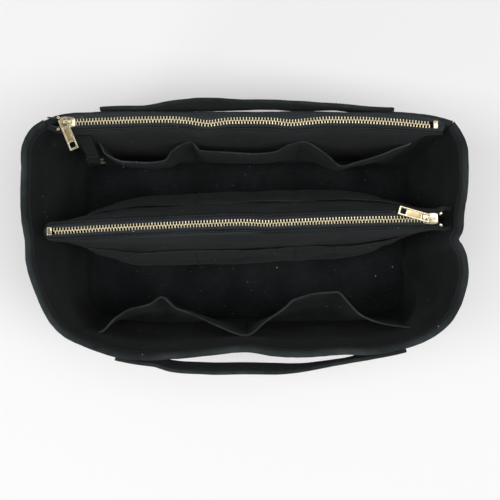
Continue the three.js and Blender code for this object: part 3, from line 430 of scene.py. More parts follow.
def link(name, data, *materials):
    """A new object at the origin with its data, such as a mesh, and its materials."""
    made = bpy.data.objects.new(name, data)
    bpy.context.scene.collection.objects.link(made)
    for material in materials:
        data.materials.append(material)
    return made


def baked(name, working):
    """The plain mesh of a bmesh."""
    mesh = bpy.data.meshes.new(name)
    working.to_mesh(mesh)
    working.free()
    return mesh


def moved(working, matrix):
    """A bmesh, moved by a matrix."""
    bmesh.ops.transform(working, matrix=matrix, verts=working.verts)
    return working


def two_faced(name, front, back, material, roundness=0.6, rubbed=None):
    """A closed cloth between two faces, each of stations x rows points, with rounded upper and lower edges.
    rubbed gives each row's wear, from 0 to 1."""
    def edge(row, inner):
        middle = (front[:, row] + back[:, row]) / 2
        away = middle - (front[:, inner] + back[:, inner]) / 2
        away = away / (np.linalg.norm(away, axis=1, keepdims=True) + SMALL)
        half = np.linalg.norm(front[:, row] - back[:, row], axis=1, keepdims=True) / 2
        return (middle + away * half * roundness)[:, None]

    rings = np.concatenate([edge(0, 1), front, edge(-1, -2), back[:, ::-1]], axis=1)
    stations, count = rings.shape[:2]
    here = np.arange(stations - 1)[:, None] * count + np.arange(count)[None, :]
    step = np.arange(stations - 1)[:, None] * count + (np.arange(count)[None, :] + 1) % count
    quads = np.stack([here, here + count, step + count, step], axis=-1).reshape(-1, 4)
    low = np.arange(1, count // 2 - 1)
    cap = np.stack([low, low + 1, count - low - 1, count - low], axis=1)
    end = (stations - 1) * count
    faces = [*quads.tolist(), *cap.tolist(), *(cap[:, ::-1] + end).tolist()]
    tips = [[0, 1, count - 1], [count // 2 - 1, count // 2, count // 2 + 1]]
    faces += tips + [[end + i for i in reversed(tip)] for tip in tips]
    mesh = bpy.data.meshes.new(name)
    mesh.from_pydata(rings.reshape(-1, 3).tolist(), [], faces)
    face_u = along(front[:, front.shape[1] // 2])
    face_v = along(front[front.shape[0] // 2])
    u = np.repeat(face_u[:, None], count, axis=1)
    v = np.concatenate([[0], face_v, [face_v[-1]], face_v[::-1]])[None, :].repeat(stations, axis=0)
    unwrap(mesh, np.stack([u, v], axis=-1).reshape(-1, 2))
    if rubbed is not None:
        worn_and_lit = np.concatenate([[rubbed[0]], rubbed, [rubbed[-1]], rubbed[::-1]])
        mesh.attributes.new("rubbed", "FLOAT", "POINT").data.foreach_set("value", np.tile(worn_and_lit, stations))
    return finish_cloth(name, mesh, material)


def unwrap(mesh, places):
    """Gives each vertex its place on the cloth, in metres along and across it."""
    layer = mesh.uv_layers.new(name="cloth")
    corner = np.zeros(len(mesh.loops), int)
    mesh.loops.foreach_get("vertex_index", corner)
    layer.data.foreach_set("uv", places[corner].astype(np.float32).ravel())


def finish_cloth(name, mesh, material):
    """Turns a closed mesh's faces outward, smooths it and links it."""
    working = bmesh.new()
    working.from_mesh(mesh)
    bmesh.ops.recalc_face_normals(working, faces=working.faces)
    if working.calc_volume(signed=True) < 0:
        bmesh.ops.reverse_faces(working, faces=working.faces)
    working.to_mesh(mesh)
    working.free()
    mesh.polygons.foreach_set("use_smooth", [True] * len(mesh.polygons))
    return link(name, mesh, material)


def normals_of(surface):
    """Unit normals of a grid of points."""
    run = np.gradient(surface, axis=0)
    rise = np.gradient(surface, axis=1)
    normal = np.cross(run, rise)
    return normal / (np.linalg.norm(normal, axis=2, keepdims=True) + SMALL)


def cloth(name, surface, thickness, material, rubbed=None):
    """A cloth whose middle lies on a surface. thickness is a number, or one for each point of the surface."""
    half = np.broadcast_to(np.asarray(thickness, float), surface.shape[:2])[..., None] / 2
    normal = normals_of(surface)
    return two_faced(name, surface + normal * half, surface - normal * half, material, rubbed=rubbed)


def skin(working, sections, closed=False):
    """Faces between sections, each a ring of as many points. closed joins the last one to the first, and
    otherwise both are capped."""
    rings = [[working.verts.new(point) for point in section] for section in sections]
    count = len(rings[0])
    for a, b in zip(rings, rings[1:] + (rings[:1] if closed else [])):
        for i in range(count):
            j = (i + 1) % count
            working.faces.new((a[i], b[i], b[j], a[j]))
    if not closed:
        working.faces.new(rings[0])
        working.faces.new(reversed(rings[-1]))


def lofted(sections):
    """A closed bmesh through sections, each a ring of as many points."""
    working = bmesh.new()
    skin(working, sections)
    bmesh.ops.recalc_face_normals(working, faces=working.faces)
    return working


def lathe(profile, steps=32):
    """A closed bmesh turned about Z from (radius, height) pairs that start and end on the axis or close."""
    working = bmesh.new()
    angles = [2 * math.pi * step / steps for step in range(steps)]
    skin(working, [[(r * math.cos(a), r * math.sin(a), z) for r, z in profile] for a in angles], closed=True)
    bmesh.ops.remove_doubles(working, verts=working.verts, dist=MM / 1000)
    bmesh.ops.recalc_face_normals(working, faces=working.faces)
    return working


def add_line(curve, points, closed, radii=None):
    """Adds straight steps through points to a curve. radii gives each point's share of the curve's radius."""
    line = curve.splines.new("POLY")
    line.points.add(len(points) - 1)
    for spot, point, share in zip(line.points, points, radii or [1] * len(points)):
        spot.co = (*point, 1)
        spot.radius = share
    line.use_cyclic_u = closed


def plate(outlines, thickness, bevel, resolution=2):
    """A flat plate with rounded edges, from an outline and its holes, in X and Y with its middle at z 0."""
    curve = bpy.data.curves.new("plate", "CURVE")
    curve.dimensions = "2D"
    curve.fill_mode = "BOTH"
    curve.extrude = thickness / 2 - bevel
    curve.bevel_depth = bevel
    curve.bevel_resolution = resolution
    curve.offset = -bevel
    for outline in outlines:
        add_line(curve, [(x, y, 0) for x, y in outline], closed=True)
    return curve_mesh(curve)


def tube(points, radius, closed=False, radii=None, resolution=4):
    """A round bar along points. radii gives each point's share of the radius."""
    curve = bpy.data.curves.new("tube", "CURVE")
    curve.dimensions = "3D"
    curve.bevel_depth = radius
    curve.bevel_resolution = resolution
    curve.use_fill_caps = True
    add_line(curve, points, closed, radii)
    return curve_mesh(curve)


def curve_mesh(curve):
    """The plain mesh of a curve, as a bmesh with its doubles merged and its faces turned outward."""
    holder = link("holder", curve)
    graph = bpy.context.evaluated_depsgraph_get()
    mesh = bpy.data.meshes.new_from_object(holder.evaluated_get(graph))
    working = bmesh.new()
    working.from_mesh(mesh)
    bpy.data.objects.remove(holder)
    bpy.data.curves.remove(curve)
    bpy.data.meshes.remove(mesh)
    bmesh.ops.remove_doubles(working, verts=working.verts, dist=MM / 500)
    bmesh.ops.recalc_face_normals(working, faces=working.faces)
    return working


def box_between(low, high, bevel, segments=2):
    """A block with rounded edges between two corners."""
    working = bmesh.new()
    low, high = Vector(low), Vector(high)
    bmesh.ops.create_cube(working, size=1)
    moved(working, Matrix.Translation((low + high) / 2) @ Matrix.Diagonal((*(high - low), 1)))
    bmesh.ops.bevel(
        working, geom=working.edges[:], offset=bevel, segments=segments, profile=0.6, affect="EDGES")
    return working


def joined(parts, matrix=None):
    """One bmesh from several, moved by a matrix."""
    whole = bmesh.new()
    for part in parts:
        mesh = baked("part", part)
        whole.from_mesh(mesh)
        bpy.data.meshes.remove(mesh)
    return moved(whole, matrix) if matrix else whole


def metal_piece(name, working, material, angle=40):
    """An object from a bmesh, smooth but for its sharp edges."""
    for face in working.faces:
        face.smooth = True
    for edge in working.edges:
        edge.smooth = len(edge.link_faces) < 2 or edge.calc_face_angle(0) < math.radians(angle)
    return link(name, baked(name, working), material)


def settle(piece, body, *nodes, slot=None):
    """Gives a finished piece its body, the CAD nodes that it stands for and its material slot."""
    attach(piece, body)
    if nodes:
        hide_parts(*nodes)
    return piece


def fitting(name, working, finish, body, cad_node):
    """A metal piece in a finish, with its body and the CAD node that it stands for."""
    return settle(metal_piece(name, working, material_of(finish)), body, cad_node, slot="brass")


def joint(name):
    """What the packed model says of a joint."""
    return next(found for found in frame["joints"] if found["name"] == name)


# Geometry nodes: shapes repeated along paths

def node(tree, kind, inputs=None, **settings):
    """Adds a node with its settings, and its inputs as values or to link from: sockets, or nodes, whose first
    output in use is taken."""
    made = tree.nodes.new(kind)
    for name, value in settings.items():
        setattr(made, name, value)
    for key, value in (inputs or {}).items():
        if isinstance(value, bpy.types.Node):
            value = next(socket for socket in value.outputs if socket.enabled)
        if isinstance(value, bpy.types.NodeSocket):
            tree.links.new(value, made.inputs[key])
        else:
            made.inputs[key].default_value = value
    return made


def repeat_tree():
    """A tree that sets a shape at equal steps along every path, turned to follow it."""
    tree = bpy.data.node_groups.new("shape along path", "GeometryNodeTree")
    face = tree.interface
    for name, kind in (
            ("Paths", "Geometry"), ("Shape", "Object"), ("Spacing", "Float"), ("Unevenness", "Float"),
            ("Material", "Material")):
        face.new_socket(name, in_out="INPUT", socket_type=f"NodeSocket{kind}")
    face.new_socket("Pieces", in_out="OUTPUT", socket_type="NodeSocketGeometry")
    given = node(tree, "NodeGroupInput")
    line = node(tree, "GeometryNodeMeshToCurve", {"Mesh": given.outputs["Paths"]})
    spread = node(tree, "GeometryNodeResampleCurve", {
        "Curve": line, "Length": given.outputs["Spacing"]}, mode="LENGTH")
    run = node(tree, "GeometryNodeInputTangent")
    turn = node(tree, "FunctionNodeAlignRotationToVector", {"Vector": run}, axis="X")
    shape = node(tree, "GeometryNodeObjectInfo", {"Object": given.outputs["Shape"]})
    spot = node(tree, "GeometryNodeInstanceOnPoints", {
        "Points": spread, "Instance": shape.outputs["Geometry"],
        "Rotation": turn})
    tilt = node(tree, "FunctionNodeRandomValue", {
        "Min": (-1, -1, -1), "Max": (1, 1, 1), "Seed": 3}, data_type="FLOAT_VECTOR")
    scaled = node(tree, "ShaderNodeVectorMath", {
        0: tilt, "Scale": given.outputs["Unevenness"]}, operation="SCALE")
    loose = node(tree, "GeometryNodeRotateInstances", {
        "Instances": spot, "Rotation": scaled})
    real = node(tree, "GeometryNodeRealizeInstances", {"Geometry": loose})
    dressed = node(tree, "GeometryNodeSetMaterial", {
        "Geometry": real, "Material": given.outputs["Material"]})
    node(tree, "NodeGroupOutput", {"Pieces": dressed})
    return tree


def repeated(name, paths, shape, spacing, material, unevenness=0.0):
    """A plain mesh object of a shape repeated along paths, each a list of points."""
    mesh = bpy.data.meshes.new(name)
    points, edges = [], []
    for path in paths:
        start = len(points)
        points += [tuple(point) for point in path]
        edges += [(start + i, start + i + 1) for i in range(len(path) - 1)]
    mesh.from_pydata(points, edges, [])
    carrier = link(name, mesh)
    tree = bpy.data.node_groups.get("shape along path") or repeat_tree()
    modifier = carrier.modifiers.new("repeat", "NODES")
    modifier.node_group = tree
    known = {item.name: item.identifier for item in tree.interface.items_tree if item.in_out == "INPUT"}
    given = {"Shape": shape, "Spacing": spacing, "Unevenness": unevenness, "Material": material}
    for key, value in given.items():
        modifier[known[key]] = value
    graph = bpy.context.evaluated_depsgraph_get()
    graph.update()
    result = bpy.data.meshes.new_from_object(carrier.evaluated_get(graph))
    result.name = name
    carrier.modifiers.remove(modifier)
    carrier.data = result
    bpy.data.meshes.remove(mesh)
    return carrier


def hidden_shape(name, working, flat=()):
    """A shape for the trees to repeat, kept out of the scene. flat lists the faces that aren't shaded smooth."""
    for face in working.faces:
        face.smooth = face not in flat
    return bpy.data.objects.new(name, baked(name, working))


def stitch_shape():
    """One stitch: a short thread, thick in the middle, whose ends dip into the cloth."""
    finish = sizes("finish")
    half = finish.stitch * 0.4
    radius = finish.thread_radius
    steps = (-1, -0.5, 0, 0.5, 1)
    points = [(half * t, 0, radius * (0.9 - 1.5 * t ** 4)) for t in steps]
    shares = [1 - 0.45 * t * t for t in steps]
    return hidden_shape("stitch", tube(points, radius, radii=shares, resolution=0))


def stitches(name, paths, body=None, lift=0.0):
    """Rows of stitches along paths, riding on a body if one is named."""
    finish = sizes("finish")
    shape = bpy.data.objects.get("stitch") or stitch_shape()
    raised = [np.asarray(path) + np.array([0, 0, lift]) for path in paths]
    made = repeated(name, raised, shape, finish.stitch, material_of("thread"), unevenness=0.12)
    if body is None:
        return made
    return settle(made, body, slot="canvas")


# Materials

def material_of(kind):
    """The named finish, made once."""
    makers = {
        "canvas": canvas_finish, "lining": lining_finish, "webbing": strap_finish, "tape": tape_finish,
        "thread": thread_finish, "gold": gold_finish, "brushed": brushed_finish, "satin": satin_finish,
        "teeth": teeth_finish, "steel": steel_finish,
    }
    name, maker = makers[kind].__doc__.split(":")[0], makers[kind]
    return bpy.data.materials.get(name) or maker(name)


def cleared(owner):
    """The empty node tree of a material or a world."""
    owner.use_nodes = True
    owner.node_tree.nodes.clear()
    return owner.node_tree


def surfaced(material, inputs):
    """Gives a material its principled shader, with its inputs as values or as sockets to link from."""
    tree = material.node_tree
    shader = node(tree, "ShaderNodeBsdfPrincipled", inputs)
    node(tree, "ShaderNodeOutputMaterial", {"Surface": shader})
    return material


def tinted(tree, tint, share):
    """A colour made lighter or darker by a share."""
    return node(tree, "ShaderNodeVectorMath", {0: tuple(tint), "Scale": share}, operation="SCALE")


def lint_cover(tree, base):
    """Scatters fine specks and short fibres of lint over a colour."""
    where = node(tree, "ShaderNodeTexCoord").outputs["Object"]
    specks = node(tree, "ShaderNodeTexVoronoi", {"Vector": where, "Scale": 140.0})
    spread = node(tree, "ShaderNodeTexNoise", {"Vector": where, "Scale": 22.0, "Detail": 2.0})
    room = node(tree, "ShaderNodeMapRange", {
        "Value": spread, "From Min": 0.48, "From Max": 0.62, "To Min": 0.0, "To Max": 0.07})
    speck = node(tree, "ShaderNodeMath", {
        0: specks, 1: room}, operation="LESS_THAN")
    slant = node(tree, "ShaderNodeMapping", {
        "Vector": where, "Rotation": (0.4, 0.9, 0.6), "Scale": (60.0, 420.0, 420.0)})
    hairs = node(tree, "ShaderNodeTexVoronoi", {"Vector": slant, "Scale": 1.0})
    hair = node(tree, "ShaderNodeMath", {0: hairs, 1: 0.05}, operation="LESS_THAN")
    faint = node(tree, "ShaderNodeMath", {0: hair, 1: 0.35}, operation="MULTIPLY")
    cover = node(tree, "ShaderNodeMath", {0: speck, 1: faint}, operation="MAXIMUM")
    return node(tree, "ShaderNodeMix", {
        "Factor": cover, "A": base, "B": (*sizes("finish").lint, 1)}, data_type="RGBA")


def threads(tree, spacing, across):
    """Places on the cloth, and the height of a plain weave, from 0 in its gaps to 1 on its threads. across
    widens the second thread."""
    place = node(tree, "ShaderNodeUVMap", uv_map="cloth")
    parts = node(tree, "ShaderNodeSeparateXYZ", {"Vector": place})
    waves = []
    for axis, gap in (("X", spacing), ("Y", spacing * across)):
        turned = node(tree, "ShaderNodeMath", {0: parts.outputs[axis], 1: math.pi / gap}, operation="MULTIPLY")
        waves.append(node(tree, "ShaderNodeMath", {0: turned}, operation="SINE"))
    crossed = node(tree, "ShaderNodeMath", {0: waves[0], 1: waves[1]}, operation="MULTIPLY")
    height = node(tree, "ShaderNodeMath", {0: crossed}, operation="ABSOLUTE")
    return place, height


def woven(name, tint, spacing, across=1.0, relief=0.16, wear=0.38):
    """A matte woven cotton: threads in relief, uneven dye, paler worn patches and lint."""
    material = bpy.data.materials.new(name)
    tree = cleared(material)
    place, height = threads(tree, spacing, across)
    where = node(tree, "ShaderNodeTexCoord").outputs["Object"]
    patches = node(tree, "ShaderNodeTexNoise", {
        "Vector": where, "Scale": 26.0, "Detail": 5.0, "Roughness": 0.6})
    slubs = node(tree, "ShaderNodeMapping", {"Vector": place, "Scale": (160.0, 1100.0, 1.0)})
    yarn = node(tree, "ShaderNodeTexNoise", {"Vector": slubs, "Scale": 1.0, "Detail": 2.0})
    form = node(tree, "ShaderNodeNewGeometry")
    level = 1.0
    # Multipliers of the colour: patches and slubs of uneven dye; the weave's height, which paints shade into the gaps
    # between the threads; and pointiness, which paints convex edges paler, as wear and as a painted highlight.
    for value, low, high, darkest, palest in (
            (patches, 0.3, 0.7, 1 - wear, 1 + wear), (yarn, 0.25, 0.75, 0.78, 1.25),
            (height, 0.0, 1.0, 0.62, 1.2), (form.outputs["Pointiness"], 0.53, 0.66, 1.0, 1.7)):
        shade = node(tree, "ShaderNodeMapRange", {
            "Value": value, "From Min": low, "From Max": high, "To Min": darkest, "To Max": palest})
        level = node(tree, "ShaderNodeMath", {0: level, 1: shade}, operation="MULTIPLY")
    # The mesh's edge share, times the patches, paints edges paler: partly wear, partly a painted highlight where the
    # edges catch the light.
    worn_and_lit = node(tree, "ShaderNodeAttribute", attribute_name="rubbed")
    edge = node(tree, "ShaderNodeMath", {0: worn_and_lit.outputs["Fac"], 1: patches}, operation="MULTIPLY")
    wear_highlight_gain = node(tree, "ShaderNodeMath", {0: edge, 1: 1.7, 2: 1.0}, operation="MULTIPLY_ADD")
    level = node(tree, "ShaderNodeMath", {0: level, 1: wear_highlight_gain}, operation="MULTIPLY")
    rough = node(tree, "ShaderNodeMath", {0: height, 1: yarn}, operation="ADD")
    weave = node(tree, "ShaderNodeBump", {
        "Height": rough, "Strength": 0.75, "Distance": spacing * relief})
    nap = node(tree, "ShaderNodeBump", {
        "Height": patches, "Strength": 0.5, "Distance": 0.6 * MM,
        "Normal": weave})
    return surfaced(material, {
        "Base Color": lint_cover(tree, tinted(tree, tint, level)), "Normal": nap,
        "Roughness": 0.95, "Specular IOR Level": 0.12, "Sheen Weight": 0.035, "Sheen Roughness": 0.5})


def canvas_finish(name):
    """canvas cotton piece-dyed black: heavy plain weave, fuzzy from handling, so it never shines."""
    finish = sizes("finish")
    return woven(name, finish.canvas, finish.weave)


def lining_finish(name):
    """lining cotton piece-dyed black: the same cloth inside, with its threads a little finer."""
    finish = sizes("finish")
    return woven(name, finish.lining, finish.weave * 0.9)


def strap_finish(name):
    """strap cotton folded and topstitched: canvas with its threads packed along the strap."""
    finish = sizes("finish")
    return woven(name, finish.strap, finish.weave * 0.85, across=0.8, wear=0.3)


def tape_finish(name):
    """zipper tape polyester woven: close slanting ribs with a dull blue-grey lustre."""
    finish = sizes("finish")
    material = bpy.data.materials.new(name)
    tree = cleared(material)
    place = node(tree, "ShaderNodeUVMap", uv_map="cloth")
    slant = node(tree, "ShaderNodeMapping", {"Vector": place, "Rotation": (0, 0, 0.6)})
    parts = node(tree, "ShaderNodeSeparateXYZ", {"Vector": slant})
    turned = node(tree, "ShaderNodeMath", {
        0: parts.outputs["X"], 1: 2 * math.pi / finish.tape_weave}, operation="MULTIPLY")
    rib = node(tree, "ShaderNodeMath", {0: turned}, operation="SINE")
    # The ribs' grooves are painted darker than their crests: painted shade between the ribs, beside their bump.
    shade = node(tree, "ShaderNodeMapRange", {
        "Value": rib, "From Min": -1.0, "From Max": 1.0, "To Min": 0.45, "To Max": 1.1})
    bump = node(tree, "ShaderNodeBump", {
        "Height": rib, "Strength": 0.6, "Distance": finish.tape_weave * 0.12})
    dyed = tinted(tree, finish.tape, shade)
    return surfaced(material, {
        "Base Color": lint_cover(tree, dyed), "Normal": bump,
        "Roughness": 0.7, "Specular IOR Level": 0.3, "Sheen Weight": 0.04})


def thread_finish(name):
    """sewing thread polyester twisted: black, with the faint shine of its twist."""
    material = bpy.data.materials.new(name)
    tree = cleared(material)
    where = node(tree, "ShaderNodeTexCoord").outputs["Object"]
    # The twist's shine is painted into the colour, as lighter and darker diagonal bands.
    twist = node(tree, "ShaderNodeTexWave", {
        "Vector": where, "Scale": 900.0}, bands_direction="DIAGONAL")
    shade = node(tree, "ShaderNodeMapRange", {
        "Value": twist.outputs["Fac"], "From Min": 0.0, "From Max": 1.0, "To Min": 0.7, "To Max": 1.3})
    return surfaced(material, {
        "Base Color": tinted(tree, sizes("finish").thread, shade),
        "Roughness": 0.55, "Specular IOR Level": 0.4})


def plated(name, tint, roughness, scratch=0.25):
    """A plated metal: even colour, fine polishing marks and small dull spots."""
    material = bpy.data.materials.new(name)
    tree = cleared(material)
    where = node(tree, "ShaderNodeTexCoord").outputs["Object"]
    dull = node(tree, "ShaderNodeTexNoise", {
        "Vector": where, "Scale": 180.0, "Detail": 4.0})
    gloss = node(tree, "ShaderNodeMapRange", {
        "Value": dull, "From Min": 0.3, "From Max": 0.8,
        "To Min": roughness, "To Max": roughness + 0.18})
    marks = node(tree, "ShaderNodeMapping", {
        "Vector": where, "Rotation": (0, 0, 0.5), "Scale": (300.0, 5200.0, 2000.0)})
    polish = node(tree, "ShaderNodeTexNoise", {"Vector": marks, "Scale": 1.0})
    bump = node(tree, "ShaderNodeBump", {
        "Height": polish, "Strength": scratch, "Distance": 0.02 * MM})
    tarnish = node(tree, "ShaderNodeTexNoise", {
        "Vector": where, "Scale": 300.0, "Detail": 3.0})
    tone = node(tree, "ShaderNodeMapRange", {
        "Value": tarnish, "From Min": 0.3, "From Max": 0.7, "To Min": 0.88, "To Max": 1.05})
    return surfaced(material, {
        "Base Color": tinted(tree, tint, tone), "Normal": bump,
        "Roughness": gloss, "Metallic": 1})


def gold_finish(name):
    """zinc die-cast gold-plated: smooth cast pieces, polished and plated pale gold."""
    return plated(name, sizes("finish").gold, 0.12, scratch=0.12)


def brushed_finish(name):
    """zinc die-cast brushed and gold-plated: the pull's sunk face, a duller gold."""
    return plated(name, sizes("finish").brushed, 0.2, scratch=0.2)


def satin_finish(name):
    """zinc tumbled and gold-plated: the clasp, satin, so that it shows as a soft glint in the dark corner."""
    return plated(name, sizes("finish").gold, 0.42)


def teeth_finish(name):
    """brass stamped pale-plated: the teeth, brighter on their rubbed crowns."""
    return plated(name, sizes("finish").gold, 0.13, scratch=0.15)


def steel_finish(name):
    """spring steel drawn: the gate's pin and spring, plain and slightly dull."""
    return plated(name, sizes("finish").steel, 0.3)


class ORGANIZER_OT_stage(bpy.types.Operator):
    """Makes the pale floor, the soft studio light and the camera that looks straight down"""
    bl_idname = "organizer.stage"
    bl_label = "Stage"

    camera_place = (3.8 * MM, -8 * MM, 930 * MM)
    focal_px = 1001.4
    frame_px = 500
    sensor_mm = 36
    # Each soft box: its place, its width and height, its power, whether metal shows it, and its turn in degrees.
    lamps = (
        ("overhead strip", (-0.02, -0.21, 1.9), (3.4, 0.6), 35, False, -8),
        ("side window", (-1.3, -1.3, 0.45), (0.6, 0.5), 9, True, 0),
        ("reflected band", (0.42, 0.15, 1.9), (1.3, 0.55), 7, True, 0),
    )
    floor_half, floor_gap = 6, 0.3 * MM
    # What a lamp that stands is aimed at, and the height from which on it hangs overhead.
    aim, overhead = Vector((0, 0, 0.1)), 1

    def execute(self, context):
        scene = context.scene
        camera = bpy.data.cameras.new("camera")
        camera.sensor_width = self.sensor_mm
        camera.lens = self.sensor_mm * self.focal_px / self.frame_px
        camera.clip_start = 0.01
        scene.camera = link("camera", camera)
        scene.camera.location = self.camera_place
        scene.view_settings.view_transform = "Standard"
        self.floor()
        self.world(scene)
        for name, *facts in self.lamps:
            self.lamp(name, *facts)
        return {"FINISHED"}

    def floor(self):
        """A pale floor: what the camera sees of it is lifted to white, and it keeps the soft shadow."""
        working = bmesh.new()
        bmesh.ops.create_grid(working, x_segments=1, y_segments=1, size=self.floor_half)
        mesh = baked("floor", moved(working, Matrix.Translation((0, 0, -self.floor_gap))))
        material = bpy.data.materials.new("paper sweep matte white")
        tree = cleared(material)
        sheet = node(tree, "ShaderNodeBsdfDiffuse", {"Color": (0.82, 0.82, 0.82, 1)})
        glow = node(tree, "ShaderNodeEmission", {"Color": (1, 0.955, 0.96, 1), "Strength": 0.17})
        both = node(tree, "ShaderNodeAddShader", {0: sheet, 1: glow})
        seen = node(tree, "ShaderNodeLightPath")
        lift = node(tree, "ShaderNodeMixShader", {
            "Fac": seen.outputs["Is Camera Ray"], 1: sheet, 2: both})
        node(tree, "ShaderNodeOutputMaterial", {"Surface": lift})
        link("floor", mesh, material)

    def world(self, scene):
        """White for the camera, a low even light on cloth, and in reflections a pale room with a dark ceiling."""
        world = bpy.data.worlds.new("studio")
        scene.world = world
        tree = cleared(world)
        path = node(tree, "ShaderNodeLightPath")
        seen = node(tree, "ShaderNodeMath", {
            0: path.outputs["Is Camera Ray"], 1: path.outputs["Is Glossy Ray"]}, operation="MAXIMUM")
        seen = node(tree, "ShaderNodeMath", {
            0: seen, 1: path.outputs["Is Transmission Ray"]}, operation="MAXIMUM")
        strength = node(tree, "ShaderNodeMapRange", {
            "Value": seen, "From Min": 0.0, "From Max": 1.0, "To Min": 0.1, "To Max": 1.0})
        looking = node(tree, "ShaderNodeTexCoord")
        parts = node(tree, "ShaderNodeSeparateXYZ", {"Vector": looking.outputs["Generated"]})
        room = node(tree, "ShaderNodeMapRange", {
            "Value": parts.outputs["Z"], "From Min": 0.72, "From Max": 0.95, "To Min": 1.2, "To Max": 0.14})
        shaded = node(tree, "ShaderNodeMix", {
            "Factor": path.outputs["Is Glossy Ray"], "A": strength,
            "B": room}, data_type="FLOAT")
        glow = node(tree, "ShaderNodeBackground", {
            "Color": (1, 1, 1, 1), "Strength": shaded})
        node(tree, "ShaderNodeOutputWorld", {"Surface": glow})

    def lamp(self, name, place, size, power, mirrored, turn):
        """A soft box. It faces down where it hangs overhead, and the organizer where it stands."""
        lamp = bpy.data.lights.new(name, "AREA")
        lamp.shape = "RECTANGLE"
        lamp.size, lamp.size_y = size
        lamp.energy = power
        holder = link(name, lamp)
        holder.location = place
        holder.visible_glossy = mirrored
        holder.rotation_mode = "QUATERNION"
        if place[2] > self.overhead:
            holder.rotation_quaternion = Quaternion((0, 0, 1), math.radians(turn))
        else:
            holder.rotation_quaternion = (self.aim - Vector(place)).to_track_quat("-Z", "Y")


class ORGANIZER_OT_walls(bpy.types.Operator):
    """Makes the padded walls, with soft creases and rounded feet"""
    bl_idname = "organizer.walls"
    bl_label = "Padded walls"

    foot_rows = 12
    rows = 43
    foot_gap = 0.7 * MM
    foot_height, foot_draw = 7 * MM, 4.2 * MM
    top_share = 0.993
    crease_size, puff_size = 46 * MM, 90 * MM
    # The right wall's soft fold: its foot and its crown as places along Y and heights, and how far it sags.
    fold_line = ((-3 * MM, 0), (-64 * MM, 80 * MM))
    fold_depth = 5 * MM

    def execute(self, context):
        outline = Outline()
        body = sizes("body")
        for name, stations, top, seed in (
                ("wrap", outline.wrap, body.height, 20), ("rear", outline.rear, body.height - body.rear_drop, 40)):
            made = self.wall(f"{name}_wall", outline, stations, top, seed)
            settle(made, "organizer", f"outer_{name}", f"padding_{name}", f"lining_{name}", slot="canvas")
        return {"FINISHED"}

    def wall(self, name, outline, stations, top, seed):
        """A wall between its outer and its inner face, drawn in under the bound rim."""
        body = sizes("body")
        crease = sizes("pockets").crease
        foot_top = body.floor_top + body.cove
        bound = body.binding_width * 0.75
        lowest = body.floor_top * 0.9
        heights = np.concatenate([
            grid_rows(self.foot_gap, foot_top, self.foot_rows, -0.6),
            grid_rows(foot_top, top * self.top_share, self.rows, 0.15)[1:]])
        outer_rows, inner_rows = [], []
        for z in heights:
            drawn = ramp(top - body.binding_depth, top - body.binding_depth - body.pinch * 1.4, z)
            soft = np.minimum(drawn, ramp(0, self.foot_height * 2, z))
            wave = creases(outline.around, z, seed, self.crease_size)
            puff = creases(outline.around, z, seed + 5, self.puff_size)
            foot = (1 - ramp(0, self.foot_height, z)) * self.foot_draw
            swell = outline.puff() * ramp(0.3, 0.8, z / top)
            outer = body.outer_inset + foot + (0.25 + wave * 0.6) * crease * soft - swell
            left = body.cove - np.clip(z - lowest, 0, body.cove)
            cove = body.cove - math.sqrt(body.cove ** 2 - left ** 2)
            flat = bound + (body.wall_inset - bound) * drawn
            inner = flat + (wave * 0.8 + puff * 2.2 - 0.2) * crease * soft + cove + self.fold(outline, z)
            low = max(z, lowest)
            outer_rows.append(points_of(*outline.at(z, outer).T, z)[stations])
            inner_rows.append(points_of(*outline.at(low, inner).T, low)[stations])
        outer_face, inner_face = np.stack(outer_rows, axis=1), np.stack(inner_rows, axis=1)
        leave_seams(outer_face)
        return two_faced(name, outer_face, inner_face, material_of("lining"), roundness=0.2)

    def fold(self, outline, z):
        """How far the right wall's lining sags inwards at a height, over a line that slants up to the front."""
        x, y = outline.rim[:, 0], outline.rim[:, 1]
        (foot_y, foot_z), (crown_y, crown_z) = self.fold_line
        rise, back = crown_z - foot_z, foot_y - crown_y
        above = ((y - foot_y) * rise + (z - foot_z) * back) / math.hypot(rise, back)
        there = ramp(118 * MM, 142 * MM, x) * ramp(-84 * MM, -68 * MM, y) * (1 - ramp(-16 * MM, -2 * MM, y))
        return self.fold_depth * there * ramp(-3 * MM, 4 * MM, above) * (1 - ramp(6 * MM, 36 * MM, above))


def leave_seams(face):
    """Draws both ends of a wall's face in along its length, to leave room for the corner seams."""
    for end, inner in ((0, 1), (-1, -2)):
        run = face[inner, 0, :2] - face[end, 0, :2]
        face[end, :, :2] += run / (np.linalg.norm(run) + SMALL) * SEAM_ROOM


